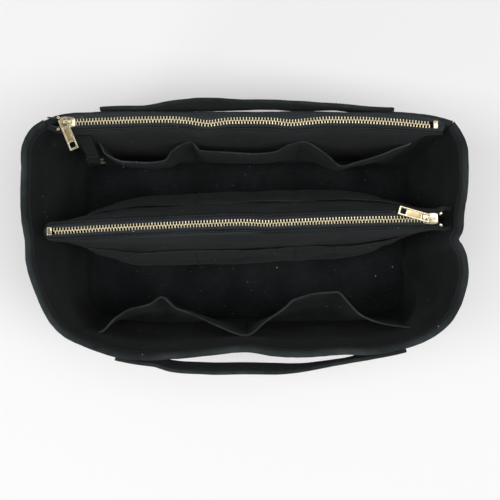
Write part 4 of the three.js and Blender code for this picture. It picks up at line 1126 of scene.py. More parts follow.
class ORGANIZER_OT_rims(bpy.types.Operator):
    """Makes the folded binding round the rim and its topstitching"""
    bl_idname = "organizer.rims"
    bl_label = "Bound rims"

    seam_rise = 2.2 * MM
    flat_rows, roll_rows = 7, 11
    # The rows of the strip between which its shoulders are painted paler, and how strongly: partly wear, partly a
    # painted highlight on the top of the roll.
    shoulders = ((3, 7, 10, 15), (0, 1, 1, 0))

    def execute(self, context):
        outline = Outline()
        body = sizes("body")
        seams = {}
        for name, stations, top, seed in (
                ("rim", outline.wrap, body.height, 60), ("rear_rim", outline.rear, body.height - body.rear_drop, 70)):
            made, seams[name] = self.binding(f"{name}_roll", outline, stations, top, seed)
            settle(made, "organizer", f"{name}_binding", slot="canvas")
        for name, paths in seams.items():
            stitches(f"{name}_stitches", paths, "organizer")
        return {"FINISHED"}

    def binding(self, name, outline, stations, top, seed):
        """A strip folded over the rim: down the outer face, over the top in a soft roll and down the inner face."""
        body = sizes("body")
        around, puff = outline.around, outline.puff()
        half = (body.binding_width - body.cloth) / 2
        foot = top - body.binding_depth
        seam = foot + self.seam_rise
        steps = np.linspace(0, 1, self.flat_rows)
        turns = np.linspace(0, math.pi, self.roll_rows)[1:-1]
        flat = body.binding_depth - half
        path = [(body.cloth / 2, foot + flat * t) for t in steps]
        path += [(body.cloth / 2 + half * (1 - math.cos(a)), top - half - body.cloth / 2 + half * math.sin(a))
                 for a in turns]
        path += [(body.binding_width - body.cloth / 2, top - half - flat * t) for t in steps]
        middle = []
        for inset, z in path:
            inset = inset - puff * (1 - ramp(0, body.binding_width, inset))
            low = ramp(top - half, foot, z)
            sway = ripple(around / (38 * MM), 0, seed) * 0.5 * MM
            pucker = ripple(around / (4.2 * MM), 0, seed + 1) * 0.22 * MM * (1 - abs(low - 0.5))
            bite = -0.35 * MM * np.exp(-((z - seam) / (1.1 * MM)) ** 2)
            swell = (pucker + bite) * np.where(inset > body.binding_width / 2, 1, -1)
            level = z + ripple(around / (30 * MM), 3, seed) * 0.45 * MM * (1 - low)
            ring = outline.at(top, inset + sway * (1 - low) + swell)
            place = ring * (1 - low) + outline.at(z, inset + swell) * low
            middle.append(points_of(*place.T, level)[stations])
        surface = np.stack(middle, axis=1)
        leave_seams(surface)
        worn_and_lit = np.interp(np.arange(len(path)), *self.shoulders)
        made = cloth(name, surface, body.cloth, material_of("canvas"), rubbed=worn_and_lit)
        rows = []
        for inset, side in ((body.binding_width, 1), (0, -1)):
            row = outline.at(seam, inset - side * 0.2 * MM - (puff if side < 0 else 0))
            rows.append(points_of(*row.T, seam)[stations][4:-4])
        return made, rows


class ORGANIZER_OT_base(bpy.types.Operator):
    """Makes the base: the outer canvas underneath and the lining on the board"""
    bl_idname = "organizer.base"
    bl_label = "Base"

    cover, cover_inset = 1.1 * MM, 1.5 * MM
    lining, lining_reach = 1.6 * MM, 0.3 * MM
    crease, crease_size, crease_seed = 0.5 * MM, 60 * MM, 80
    rings = 40

    def execute(self, context):
        outline = Outline()
        body = sizes("body")
        inset = body.outer_inset + self.cover_inset
        low = self.sheet("base_cover", outline, inset, 0, self.cover, "canvas", 0)
        settle(low, "organizer", "base_outer", "base_board", slot="canvas")
        inset = body.wall_inset - self.lining_reach
        under = body.floor_top - self.lining
        top = self.sheet("floor_lining", outline, inset, under, body.floor_top, "lining", self.crease)
        settle(top, "organizer", "base_lining", slot="lining")
        return {"FINISHED"}

    def sheet(self, name, outline, inset, low, high, finish, crease):
        """A flat sheet cut to the outline, in rings that shrink to the middle."""
        rim = outline.at(high, inset)[::3]
        shares = 1 - np.linspace(0, 1, self.rings) ** 1.4 * 0.98
        x, y = np.stack([rim * share for share in shares], axis=1).transpose(2, 0, 1)
        wave = creases(x, y, self.crease_seed, self.crease_size) * crease - crease * 0.6
        return disc(name, points_of(x, y, high + wave), points_of(x, y, low), material_of(finish))


def disc(name, top, bottom, material):
    """A closed sheet from rings of points: its upper and lower faces, joined round the edge and in the middle."""
    stations, rows = top.shape[:2]
    centre_top, centre_low = top[:, -1].mean(0), bottom[:, -1].mean(0)
    points = np.concatenate([top.reshape(-1, 3), bottom.reshape(-1, 3), [centre_top, centre_low]])
    faces = []
    lower = stations * rows
    for i in range(stations):
        j = (i + 1) % stations
        for k in range(rows - 1):
            a, b = i * rows + k, j * rows + k
            faces.append((a, b, b + 1, a + 1))
            faces.append((lower + a, lower + a + 1, lower + b + 1, lower + b))
        a, b = i * rows, j * rows
        faces.append((a, lower + a, lower + b, b))
        faces.append((a + rows - 1, b + rows - 1, 2 * lower))
        faces.append((lower + b + rows - 1, lower + a + rows - 1, 2 * lower + 1))
    mesh = bpy.data.meshes.new(name)
    mesh.from_pydata(points.tolist(), [], faces)
    unwrap(mesh, points[:, :2])
    return finish_cloth(name, mesh, material)


class Zip:
    """One zipper's straight line from its slider's end, its height, and how its closed chain waves."""
    part_widths = {"rear_zip": 1 * MM, "middle_zip": 4.4 * MM}
    part_run = 5.5 * MM

    def __init__(self, name):
        self.name = name
        self.wave = ZIP_WAVES[name]
        low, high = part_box(f"{name}_rear_teeth")
        self.run = np.array(joint(f"{name}_slide")["axis"][:2])
        self.height = (low.z + high.z) / 2
        self.start, self.end = np.array(ZIP_ENDS[name]) * MM

    def line_y(self, xs):
        """Y of the straight chain at places along X."""
        slope = (self.end[1] - self.start[1]) / (self.end[0] - self.start[0])
        return self.start[1] + (np.asarray(xs) - self.start[0]) * slope

    def sway(self, xs):
        """How far the waving chain lies to the rear of its straight line."""
        share = (np.asarray(xs) - self.start[0]) / (self.end[0] - self.start[0])
        return smooth_table(self.wave, share) * MM

    def chain_y(self, xs):
        """Y of the waving chain at places along X."""
        return self.line_y(xs) + self.sway(xs)

    def at_wall(self, table, xs):
        """What the tapes do near the wall beyond the slider, at places along X."""
        reach, start, end = table[self.name]
        return reach * MM * ramp(start * MM, end * MM, np.asarray(xs) * np.sign(self.start[0]))

    def end_drop(self, xs):
        """How far the tapes and the cloth on them tuck down where they run into the side wall."""
        return self.at_wall(ZIP_TUCKS, xs)

    def end_turn(self, xs):
        """How far a tape turns to the rear, into the corner seam."""
        return self.at_wall(ZIP_TURNS, xs)

    def parted(self, xs):
        """How far the tapes part to each side beyond the slider."""
        past = (np.asarray(xs) - self.start[0]) * np.sign(self.start[0] - self.end[0])
        return self.part_widths[self.name] * np.clip(past / self.part_run, 0, 1.3)

    def spread(self, xs):
        """How far the tapes' outer edges part: less than the teeth, and they close again at the side wall."""
        return self.parted(xs) * 0.8 - self.at_wall(ZIP_CLOSINGS, xs)


class Pockets:
    """Surfaces of the pockets' cloths, each a place in Y for places along X at a height."""
    end_margin = 10 * MM
    end_run = 14 * MM
    seat = 0.5 * MM
    lie = 0.3 * MM
    under_zip = 0.6 * MM
    # The rear panel's half length is held to this, and grows by this much between these heights.
    end_limit, end_growth = 146.2 * MM, 4.6 * MM
    growth_heights = (140 * MM, 163 * MM)

    def __init__(self):
        self.outline = Outline()
        self.body = sizes("body")
        self.pockets = sizes("pockets")
        self.rear_zip = Zip("rear_zip")
        self.middle_zip = Zip("middle_zip")
        self.half_tape = sizes("zips").tape_half_width
        self.rear_top = self.rear_zip.height - self.under_zip
        self.pouch_top = self.middle_zip.height - self.under_zip

    def pocket_end(self, z):
        """Half the length of the rear pocket's panel at a height."""
        inset = self.body.wall_inset
        reach = min(side * self.outline.face_x(0, z, inset, side) for side in (-1, 1))
        return min(reach - self.end_margin, self.end_limit) + self.end_growth * ramp(*self.growth_heights, z)

    def rear_panel(self, xs, z):
        """The rear zip pocket's panel, hung from the front tape."""
        pockets = self.pockets
        top = self.body.height - self.body.rear_drop
        share = share_of(pockets.rear_floor, self.rear_top, z)
        back = self.outline.face_y(xs, min(z, top), self.body.wall_inset + self.seat, 1) - self.body.cloth
        ends = np.clip((self.pocket_end(z) - np.abs(xs)) / self.end_run, 0, 1)
        lower = back - pockets.rear_depth * smooth_table(REAR_POCKET_SHARES, share) * ends
        hung = self.rear_zip.chain_y(xs) - self.half_tape - self.body.cloth / 2
        risen = ramp(pockets.mouth, self.rear_top, z)
        return np.minimum(back, lower + (hung - lower) * risen)

    def gape(self, table, full, shares, z):
        """How far a slip pocket's cloth stands off at a height."""
        drop = smooth_table(SLIP_DROP_SHARES, self.slip_level(z))
        return self.lie + self.body.cloth + full * smooth_table(table, shares) * drop

    def slip_level(self, z):
        """A height as a share of the way from the slip pockets' floor to their mouth."""
        return share_of(self.pockets.slip_floor, self.pockets.mouth, z)

    def pouch_level(self, z):
        """A height as a share of the way from the pouch's floor to its zipper."""
        return share_of(self.pockets.pouch_floor, self.pouch_top, z)

    def pouch_half(self, places, z):
        """Half the pouch's width at places along it, given as shares."""
        level = self.pouch_level(z)
        fill = smooth_table(POUCH_FILL_SHARES, places)
        fill = fill + (1 - fill) * ramp(0.8, 1, level)
        wide = self.pockets.pouch_half * smooth_table(POUCH_SIDE_SHARES, level) * fill
        return np.maximum(wide, self.body.cloth + self.lie / 2)

    def pouch_gape(self, places, z):
        """How far a slip pocket on the pouch stands off its panel."""
        stand = smooth_table(POUCH_GAPE_SHARES, places) * smooth_table(POUCH_DROP_SHARES, self.slip_level(z))
        return self.lie + self.body.cloth + self.pockets.pouch_gape * stand

    def pouch_swell(self, places, z, room=0.4):
        """How far the filled pouch swells out, most where the slip pockets are sewn to it. room is what it
        leaves at the pockets' middles, as a share."""
        run = ramp(-0.03, 0.23, places) * (1 - ramp(0.73, 1.02, places))
        held = 1 - room * smooth_table(POUCH_GAPE_SHARES, places)
        return self.pockets.pouch_swell * run * held * smooth_table(POUCH_SWELL_SHARES, self.slip_level(z))

    def pouch_stand(self, places, z, loose):
        """How far a slip pocket's cloth stands from the zipper's line. loose is a share for each place."""
        level = self.slip_level(z)
        gape = smooth_table(POUCH_GAPE_SHARES, places)
        half = self.pouch_half(places, z)
        near = half + self.pouch_swell(places, z) + self.lie + self.body.cloth
        near = near + self.pockets.pouch_slack * gape * ramp(0.1, 1, level)
        full = half + self.pouch_gape(places, z)
        even = half + self.pouch_swell(places, z, 0) + self.lie + self.body.cloth
        ends = 1 - ramp(0.08, 0.2, places) * (1 - ramp(0.75, 0.9, places))
        belly = even + (np.maximum(near, full) - even) * np.maximum(ends, loose)
        return np.maximum(near, belly + (near - belly) * (1 - loose) * ramp(0.5, 1, level))

    def pouch_x(self, places, z):
        """X of places along the pouch, between its seams with the side walls."""
        inset = self.body.wall_inset + self.seat
        ends = []
        for side in (-1, 1):
            seam = self.middle_zip.line_y(side * self.body.rim_half_length)
            reach = [self.outline.face_x(seam + k * self.half_tape, z, inset, side) * side for k in (-1, 0, 1)]
            ends.append(min(reach) * side)
        ends[0] += self.pockets.pouch_end_room * ramp(self.pockets.mouth - 6 * MM, self.pouch_top, z)
        return ends[0] + (ends[1] - ends[0]) * places


def folded_edge(zipper, xs, centre, side, narrow=1.0):
    """Rows of a cloth's edge, folded over a tape's sewn edge and onto it. narrow draws them in to the middle."""
    centre = centre + zipper.end_turn(xs)
    level = zipper.height - zipper.end_drop(xs)
    return [points_of(xs, centre + side * stand * MM * narrow, level + rise * MM) for stand, rise in FOLD_OVER]


def grid_rows(low, high, count, crowd=0.0):
    """Heights from low to high, crowded towards the top, or towards the foot where crowd is below 0."""
    t = np.linspace(0, 1, count)
    return low + (high - low) * (t + crowd * t * (1 - t))


def slip_cloth(name, surface, table, shares, side, thickness=0.8, hem=0.8, wear=1.0):
    """A slip pocket's cloth from stations x rows points: thicker at the hem below its worn upper edge, and
    stitched. thickness, and what the hem adds, are shares of the canvas's."""
    pockets, canvas = sizes("pockets"), sizes("body").cloth
    reach = along(surface[surface.shape[0] // 2])
    below = reach[-1] - reach
    hemmed = 1 - ramp(pockets.hem - HEM_STEP, pockets.hem + HEM_STEP, below)
    made = cloth(f"{name}_cloth", surface, canvas * thickness + canvas * hem * hemmed[None, :],
                 material_of("lining"), rubbed=wear * (1 - ramp(0, PALER_EDGE_BAND, below)))
    settle(made, "organizer", f"{name}_pockets", slot="lining")
    pocket_stitches(f"{name}_stitches", surface, reach, table, shares, side)


def pocket_stitches(name, surface, reach, table, shares, side):
    """Stitches along a pocket cloth's hem and down the seams between its pockets, on its inner side."""
    outward = np.array([0, side * 0.75 * MM, 0])
    hem_seam = sizes("pockets").hem - 1.5 * MM
    row = int(np.argmin(np.abs(reach[-1] - reach - hem_seam)))
    paths = [surface[4:-4, row] + outward]
    for place, gape in table:
        if gape == 0:
            column = int(np.clip(np.argmin(np.abs(shares - place)), 2, len(shares) - 3))
            paths.append(surface[column, ::2] + outward)
    paths.append(surface[4:-4, 1] + outward)
    stitches(name, paths, "organizer")


class ORGANIZER_OT_rear_pocket(bpy.types.Operator):
    """Makes the rear zip pocket's panel and the three slip pockets on it"""
    bl_idname = "organizer.rear_pocket"
    bl_label = "Rear pockets"

    stations = 260
    panel_rows, slip_rows = 60, 48
    sag = 4 * MM
    # The seeds and the sizes of the creases.
    panel_creases, slip_creases = (101, 34 * MM), (111, 26 * MM)

    def execute(self, context):
        shape = Pockets()
        pockets = shape.pockets
        places = np.linspace(-1, 1, self.stations)
        slack = np.clip((1 - np.abs(places)) * 9, 0, 1)
        rows = []
        for z in grid_rows(pockets.rear_floor, shape.rear_top, self.panel_rows):
            xs = places * shape.pocket_end(z)
            soft = (ramp(pockets.rear_floor, pockets.rear_floor + 10 * MM, z)
                    * (1 - ramp(shape.rear_top - 8 * MM, shape.rear_top, z)))
            wave = creases(xs, z, *self.panel_creases) * pockets.crease * soft * slack
            upper = ramp(pockets.mouth, shape.rear_top, z)
            y = shape.rear_panel(xs, z) + shape.body.cloth / 2 - np.abs(wave) * 0.8
            y = y + shape.rear_zip.end_turn(xs) * upper
            rows.append(points_of(xs, y, z - shape.rear_zip.end_drop(xs) * upper))
        rows += folded_edge(shape.rear_zip, xs, shape.rear_zip.chain_y(xs), -1)
        surface = np.stack(rows, axis=1)
        stitches("rear_pocket_top_stitches", [surface[6:-6, -3]], "organizer", lift=shape.body.cloth * 0.55)
        panel = cloth("rear_pocket_panel", surface, shape.body.cloth, material_of("lining"))
        settle(panel, "organizer", "rear_zip_pocket_panel", slot="lining")
        self.slips(shape)
        return {"FINISHED"}

    def slips(self, shape):
        """The slip pockets: one cloth, sewn down between the pockets and gaping at its mouth."""
        pockets = shape.pockets
        half = sizes("body").rim_half_length
        places = np.linspace(REAR_GAPE_SHARES[0][0], REAR_GAPE_SHARES[-1][0], self.stations)
        scale = half / shape.pocket_end(pockets.mouth)
        rows = []
        for z in grid_rows(pockets.slip_floor, pockets.mouth, self.slip_rows, 0.3):
            level = shape.slip_level(z)
            xs = places * scale * shape.pocket_end(z)
            gape = shape.gape(REAR_GAPE_SHARES, pockets.rear_gape, places, z)
            slack = np.clip(gape / (6 * MM), 0, 1) * ramp(0, 0.2, level)
            wave = creases(xs, z, *self.slip_creases) * pockets.crease * slack
            y = shape.rear_panel(xs, z) - gape + shape.body.cloth / 2 + wave * 0.9
            sag = (gape / pockets.rear_gape) ** 2 * self.sag * ramp(0.5, 1, level)
            rows.append(points_of(xs, y, z - sag))
        surface = np.stack(rows, axis=1)
        slip_cloth("rear_slip", surface, REAR_GAPE_SHARES, places, -1)


class ORGANIZER_OT_front_pockets(bpy.types.Operator):
    """Makes the two slip pockets on the front wall"""
    bl_idname = "organizer.front_pockets"
    bl_label = "Front pockets"

    stations = 280
    rows = 56
    sag = 5 * MM
    crease_seed, crease_size = 131, 30 * MM

    def execute(self, context):
        shape = Pockets()
        pockets, body = shape.pockets, shape.body
        half = body.base_half_length
        places = np.linspace(FRONT_GAPE_SHARES[0][0], FRONT_GAPE_SHARES[-1][0], self.stations)
        xs = places * half
        rows = []
        for z in grid_rows(pockets.slip_floor, pockets.mouth, self.rows, 0.3):
            level = shape.slip_level(z)
            gape = shape.gape(FRONT_GAPE_SHARES, pockets.front_gape, places, z)
            slack = np.clip(gape / (8 * MM), 0, 1) * ramp(0, 0.2, level)
            wave = creases(xs, z, self.crease_seed, self.crease_size) * pockets.crease * slack
            y = shape.outline.face_y(xs, z, body.wall_inset + shape.seat, -1) + gape - body.cloth / 2 - wave
            sag = (gape / pockets.front_gape) ** 2 * self.sag * ramp(0.5, 1, level)
            rows.append(points_of(xs, y, z - sag))
        surface = np.stack(rows, axis=1)
        slip_cloth("front_slip", surface, FRONT_GAPE_SHARES, places, 1, hem=0.9)
        return {"FINISHED"}


class ORGANIZER_OT_pouch(bpy.types.Operator):
    """Makes the pouch across the middle, with its slip pockets"""
    bl_idname = "organizer.pouch"
    bl_label = "Middle pouch"

    stations = 300
    panel_rows, slip_rows = 64, 50
    end_round = 6.5 * MM
    rear_loose = 0.22
    panel_seed, panel_crease = 151, 30 * MM
    # The panels' lengthwise ripples: how long and how high each is.
    ripple_seed, ripple_length, ripple_height = 157, 70 * MM, 7 * MM
    slip_seed, slip_crease = 171, 24 * MM

    def execute(self, context):
        shape = Pockets()
        for name, side in (("front", -1), ("rear", 1)):
            self.panel(shape, name, side)
            self.slips(shape, name, side)
        return {"FINISHED"}

    def panel(self, shape, name, side):
        """One side of the pouch, sewn to its tape, to both side walls and along the bottom."""
        pockets, body = shape.pockets, shape.body
        t = np.linspace(0, 1, self.stations)
        places = t - 0.1 * np.sin(2 * math.pi * t)
        tip = np.clip(1 - places * body.rim_half_length * 2 / self.end_round, 0, 1)
        round_end = np.sqrt(1 - tip ** 2 * 0.97)
        edge_slack = np.clip(np.minimum(places, 1 - places) * 14, 0, 1)
        zipper = shape.middle_zip
        rows = []
        for z in grid_rows(pockets.pouch_floor, shape.pouch_top, self.panel_rows):
            level = shape.pouch_level(z)
            under_tape = ramp(0.85, 1, level)
            xs = shape.pouch_x(places, z)
            slack = edge_slack * ramp(0, 0.15, level) * (1 - ramp(0.95, 1, level))
            wave = creases(xs, z, self.panel_seed + side, self.panel_crease) * pockets.crease
            lengthwise = ripple(xs / self.ripple_length, z / self.ripple_height, self.ripple_seed + side)
            lengthwise = lengthwise * 0.5 * pockets.crease
            half = shape.pouch_half(places, z) + shape.pouch_swell(places, z) + zipper.spread(xs) * under_tape
            half = half * (1 - (1 - round_end) * ramp(0.8, 1, level))
            stand = np.maximum(half - body.cloth / 2 + (wave + lengthwise) * slack, body.cloth * 0.6)
            y = zipper.line_y(xs) + zipper.sway(xs) * ramp(0.6, 1, level) + side * stand
            rows.append(points_of(xs, y, z - zipper.end_drop(xs) * under_tape))
        rows += folded_edge(zipper, xs, zipper.chain_y(xs) + side * zipper.spread(xs), side, round_end)
        surface = np.stack(rows, axis=1)
        stitches(f"pouch_{name}_top_stitches", [surface[8:-8, -3]], "organizer", lift=body.cloth * 0.55)
        made = cloth(f"pouch_{name}_cloth", surface, body.cloth * 0.9, material_of("lining"))
        settle(made, "organizer", f"pouch_{name}_panel", slot="lining")

    def slips(self, shape, name, side):
        """The slip pockets on one side of the pouch."""
        pockets, body = shape.pockets, shape.body
        places = np.linspace(POUCH_GAPE_SHARES[0][0], POUCH_GAPE_SHARES[-1][0], self.stations)
        edge_slack = np.clip(smooth_table(POUCH_GAPE_SHARES, places) * 2, 0, 1)
        loose = (1 - ramp(0.33, 0.4, places)) * (self.rear_loose if side > 0 else 0)
        rows = []
        for z in grid_rows(pockets.slip_floor, pockets.mouth, self.slip_rows, 0.3):
            xs = shape.pouch_x(places, z)
            slack = edge_slack * ramp(0, 0.2, shape.slip_level(z))
            wave = creases(xs, z, self.slip_seed + side, self.slip_crease) * pockets.crease * 0.8
            stand = shape.pouch_stand(places, z, loose) - body.cloth / 2 + wave * slack
            rows.append(points_of(xs, shape.middle_zip.line_y(xs) + side * stand, z))
        slip_cloth(f"pouch_{name}_slip", np.stack(rows, axis=1), POUCH_GAPE_SHARES,
                   places, side, thickness=0.7, hem=0.3, wear=0.4)


class ORGANIZER_OT_zippers(bpy.types.Operator):
    """Makes both zippers: teeth, tapes, stops, sliders and pulls"""
    bl_idname = "organizer.zippers"
    bl_label = "Zippers"

    # The tapes: where each zipper's start and end along X, their round ends, and the cord along the teeth.
    tape_ends = {"rear_zip": (-151 * MM, 152.6 * MM), "middle_zip": (-153.9 * MM, 154.6 * MM)}
    tape_stations, tape_rows = 320, 14
    end_round = 6 * MM
    narrowest = 0.25 * MM
    closed_half = 0.12 * MM
    cord_inset, cord_place, cord_half, cord_rise = 0.7 * MM, 0.9 * MM, 0.7 * MM, 1.1 * MM
    turn_down, tuck = 2.2 * MM, 1.6 * MM
    tape_wave, tape_wave_size, tape_seed = 0.16 * MM, 16 * MM, 201
    # The top stops: how far each lies from its place, to its own side and past the chain, and its lean.
    stop_apart = {1: 1.6 * MM, -1: 3 * MM}
    stop_past = {"rear_zip": 0, "middle_zip": 0.9 * MM}
    stop_lean = math.radians(34)

    def execute(self, context):
        shapes = {side: self.tooth(side) for side in (1, -1)}
        rear, middle = Zip("rear_zip"), Zip("middle_zip")
        for zipper, sides in ((rear, ("rear", "front")), (middle, ("front", "rear"))):
            self.teeth(zipper, sides, shapes)
            self.stops(zipper, sides)
            self.slider(zipper)
            self.pull(zipper)
        self.middle_tapes(middle)
        self.rear_tapes(rear)
        return {"FINISHED"}

    def tooth(self, side):
        """A stamped tooth: a rounded head that reaches past the chain's middle, and two lower flat legs."""
        zips = sizes("zips")
        thick = zips.pitch * 0.25
        rise = zips.tooth_height / 2
        head, root = zips.row_half_width * 0.32, zips.row_half_width * 0.95
        head_end = head * 1.25
        profile = [(-head * 0.6, 0.4, 0.45), (-head * 0.25, 0.9, 0.75), (head * 0.4, 1, 0.85), (head_end, 0.88, 0.8),
                   (head_end * 1.06, 0.6, 0.7), (root * 0.86, 0.56, 0.64), (root, 0.3, 0.54)]
        outline = [(y, h, w) for y, h, w in profile] + [(y, -h, w) for y, h, w in reversed(profile)]
        steps = ((-1, 0.8), (-0.35, 1), (0.35, 1), (1, 0.8))
        working = lofted([
            [(place * thick * w, y * side, h * rise * share) for y, h, w in outline] for place, share in steps])
        legs = [face for face in working.faces if all(v.co.y * side > head_end * 0.98 for v in face.verts)]
        return hidden_shape(f"tooth_{side}", working, flat=legs)

    def chain_path(self, zipper, start, pitch):
        """Points along the waving chain, a whole number of pitches long from a distance past its slider's end."""
        xs = np.linspace(zipper.start[0], zipper.end[0], 1600)
        points = points_of(xs, zipper.chain_y(xs), zipper.height)
        count = int((along(points)[-1] - 1.5 * pitch) / pitch)
        return at_lengths(points, np.linspace(start, start + (count + 0.02) * pitch, 700))

    def teeth(self, zipper, sides, shapes):
        """Both rows of teeth, half a pitch apart."""
        pitch = sizes("zips").pitch
        for sign, side in ((1, sides[0]), (-1, sides[1])):
            path = self.chain_path(zipper, pitch * (0.5 if sign > 0 else 1.0), pitch)
            made = repeated(
                f"{zipper.name}_{side}_row", [path], shapes[sign], pitch, material_of("teeth"), unevenness=0.02)
            settle(made, "organizer", f"{zipper.name}_{side}_teeth", slot="brass")

    def middle_tapes(self, zipper):
        """The middle zipper's two flat tapes."""
        reach = sizes("zips").tape_half_width
        xs = self.tape_run(zipper)
        for name, side in (("front", -1), ("rear", 1)):
            self.tape(zipper, name, side, xs, zipper.line_y(xs) + side * (reach + zipper.spread(xs)))

    def rear_tapes(self, zipper):
        """The rear zipper's tapes: a flat one in front, and one that turns down onto the rear rim."""
        body = sizes("body")
        xs = self.tape_run(zipper)
        outer = zipper.chain_y(xs) - sizes("zips").tape_half_width - zipper.parted(xs) * 0.5
        self.tape(zipper, "front", -1, xs, outer)
        edge = Outline().face_y(xs, body.height - body.rear_drop, body.cloth, 1)
        self.tape(zipper, "rear", 1, xs, edge)

    def tape_run(self, zipper):
        """Places along X from one end of a tape to the other, close together at both ends."""
        low, high = self.tape_ends[zipper.name]
        t = np.linspace(0, 1, self.tape_stations)
        return low + (high - low) * (t - 0.14 * np.sin(2 * math.pi * t))

    def tape(self, zipper, name, side, xs, outer):
        """A tape from the cord beside the teeth to its outer edge, a little hollow between, with rounded ends.
        Past the box stop, where no teeth part them, the two tapes lie close together."""
        zips = sizes("zips")
        rear = zipper.name == "rear_zip"
        turned_down = rear and name == "rear"
        box_low, box_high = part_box(f"{zipper.name}_box_stop")
        closed_end = -1 if box_low.x < 0 else 1
        box_edge = min(abs(box_low.x), abs(box_high.x)) + (box_high.x - box_low.x) + 0.3 * MM
        beyond = ramp(0, 0.6 * MM, xs * closed_end - box_edge)
        cord_edge = zips.row_half_width - self.cord_inset
        inner_half = (cord_edge + zipper.parted(xs)) * (1 - beyond) + self.closed_half * beyond
        room = np.minimum(xs - xs[0], xs[-1] - xs) if rear else (xs - xs[0] if closed_end < 0 else xs[-1] - xs)
        tip = np.clip(1 - room / self.end_round, 0, 1)
        rounded_off = np.sqrt(1 - tip ** 2 * 0.985)
        chain = zipper.chain_y(xs)
        inner = chain + side * inner_half
        full = np.abs(outer - inner)
        wide = np.maximum(full - (1 - rounded_off) * np.abs(outer - chain), self.narrowest)
        drop = self.turn_down if turned_down else 0
        tuck = self.tuck * tip if rear else 0
        rows, thick = [], []
        for share in np.linspace(0, 1, self.tape_rows):
            y = inner + side * wide * share
            z = zipper.height - drop * ramp(0.3, 0.95, share) - tuck
            if not turned_down:
                y, z = y + zipper.end_turn(xs), z - zipper.end_drop(xs)
            wave = ripple(xs / self.tape_wave_size, share * 2, self.tape_seed + side) * self.tape_wave
            rows.append(points_of(xs, y, z + wave * math.sin(math.pi * share)))
            cord = math.exp(-((share * np.mean(full) - self.cord_place) / self.cord_half) ** 2)
            thick.append(zips.tape_thickness + self.cord_rise * cord)
        surface = np.stack(rows, axis=1)
        made = cloth(f"{zipper.name}_{name}_tape_cloth", surface, np.array(thick)[None, :], material_of("tape"))
        settle(made, "organizer", f"{zipper.name}_{name}_tape", slot="tape")
        if turned_down:
            seam = surface[12:-12, -3] + np.array([0, 0, zips.tape_thickness / 2 + 0.12 * MM])
            stitches("rear_zip_rear_tape_stitches", [seam], "organizer")

    def stops(self, zipper, sides):
        """The box stop at the closed end, and the two bent wire stops behind the slider."""
        box_node = f"{zipper.name}_box_stop"
        low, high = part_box(box_node)
        body = box_between(low, high, 0.7 * MM, 3)
        groove_low = (low.x, (low.y + high.y) / 2 - 0.25 * MM, high.z - 0.1 * MM)
        ridge = box_between(groove_low, (high.x, groove_low[1] + 0.5 * MM, high.z + 0.25 * MM), 0.1 * MM)
        fitting(f"{zipper.name}_box", joined([body, ridge]), "gold", "organizer", box_node)
        for side in sides:
            stop_node = f"{zipper.name}_{side}_top_stop"
            low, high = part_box(stop_node)
            bit = box_between(low, high, 0.55 * MM, 3)
            centre = (low + high) / 2
            out = 1 if centre.y > zipper.chain_y(centre.x) else -1
            lean = Matrix.Rotation(out * np.sign(zipper.start[0]) * self.stop_lean, 4, "Z")
            spot = centre + Vector((self.stop_past[zipper.name], out * self.stop_apart[out], 0))
            moved(bit, Matrix.Translation(spot) @ lean @ Matrix.Translation(-centre))
            fitting(f"{zipper.name}_{side}_stop_bit", bit, "gold", "organizer", stop_node)

    def place(self, zipper):
        """The frame of the closed slider: X along the chain from its end, Z up."""
        angle = math.atan2(zipper.run[1], zipper.run[0])
        half = sizes("zips").slider_length / 2
        centre = zipper.start + zipper.run * half
        return Matrix.Translation((*centre, zipper.height)) @ Matrix.Rotation(angle, 4, "Z")

    def slider(self, zipper):
        """The slider: two shield-shaped plates with turned flanges, and a bridge for the pull."""
        zips = sizes("zips")
        half = zips.slider_length / 2
        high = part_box(f"{zipper.name}_slider")[1]
        wide = zips.row_half_width + 1.3 * MM
        plate_low = zips.tooth_height / 2 + 0.3 * MM
        thick = 1 * MM
        flange = 0.45 * MM
        shield = [(-half, wide * 0.62), (-half * 0.86, wide * 0.9), (-half * 0.3, wide), (half * 0.45, wide * 0.9),
                  (half * 0.85, wide * 0.78), (half, wide * 0.62)]
        outline = shield + [(x, -y) for x, y in reversed(shield)]
        parts = {}
        for name, sign in (("upper", 1), ("lower", -1)):
            middle = Matrix.Translation((0, 0, sign * (plate_low + thick / 2)))
            parts[name] = [moved(plate([outline], thick, 0.3 * MM, 3), middle)]
            for edge in (1, -1):
                run = [(x, edge * (y - flange), sign * (plate_low - 0.1 * MM)) for x, y in shield[1:-1]]
                foot = [(x, y, sign * 0.95 * MM) for x, y, z in run]
                parts[name] += [tube(run, flange, resolution=3), ribbon(run, foot, flange * 2)]
        roof = high.z - zipper.height - 0.45 * MM
        reach = 3.15 * MM
        deck = plate_low + thick * 0.6
        leg = [(reach, deck), (reach, roof - 1.4 * MM), (reach - 0.5 * MM, roof - 0.4 * MM),
               (reach - 1.4 * MM, roof)]
        bridge = strip([(-x, z) for x, z in leg] + leg[::-1], 0.95 * MM, 0.45 * MM)
        matrix = self.place(zipper)
        body = zipper.name.replace("_zip", "_slider")
        fitting(f"{zipper.name}_slider_top", joined([*parts["upper"], bridge], matrix), "gold", body,
                f"{zipper.name}_slider")
        fitting(f"{zipper.name}_slider_bottom", joined(parts["lower"], matrix), "gold", body,
                f"{zipper.name}_slider_lower_plate")

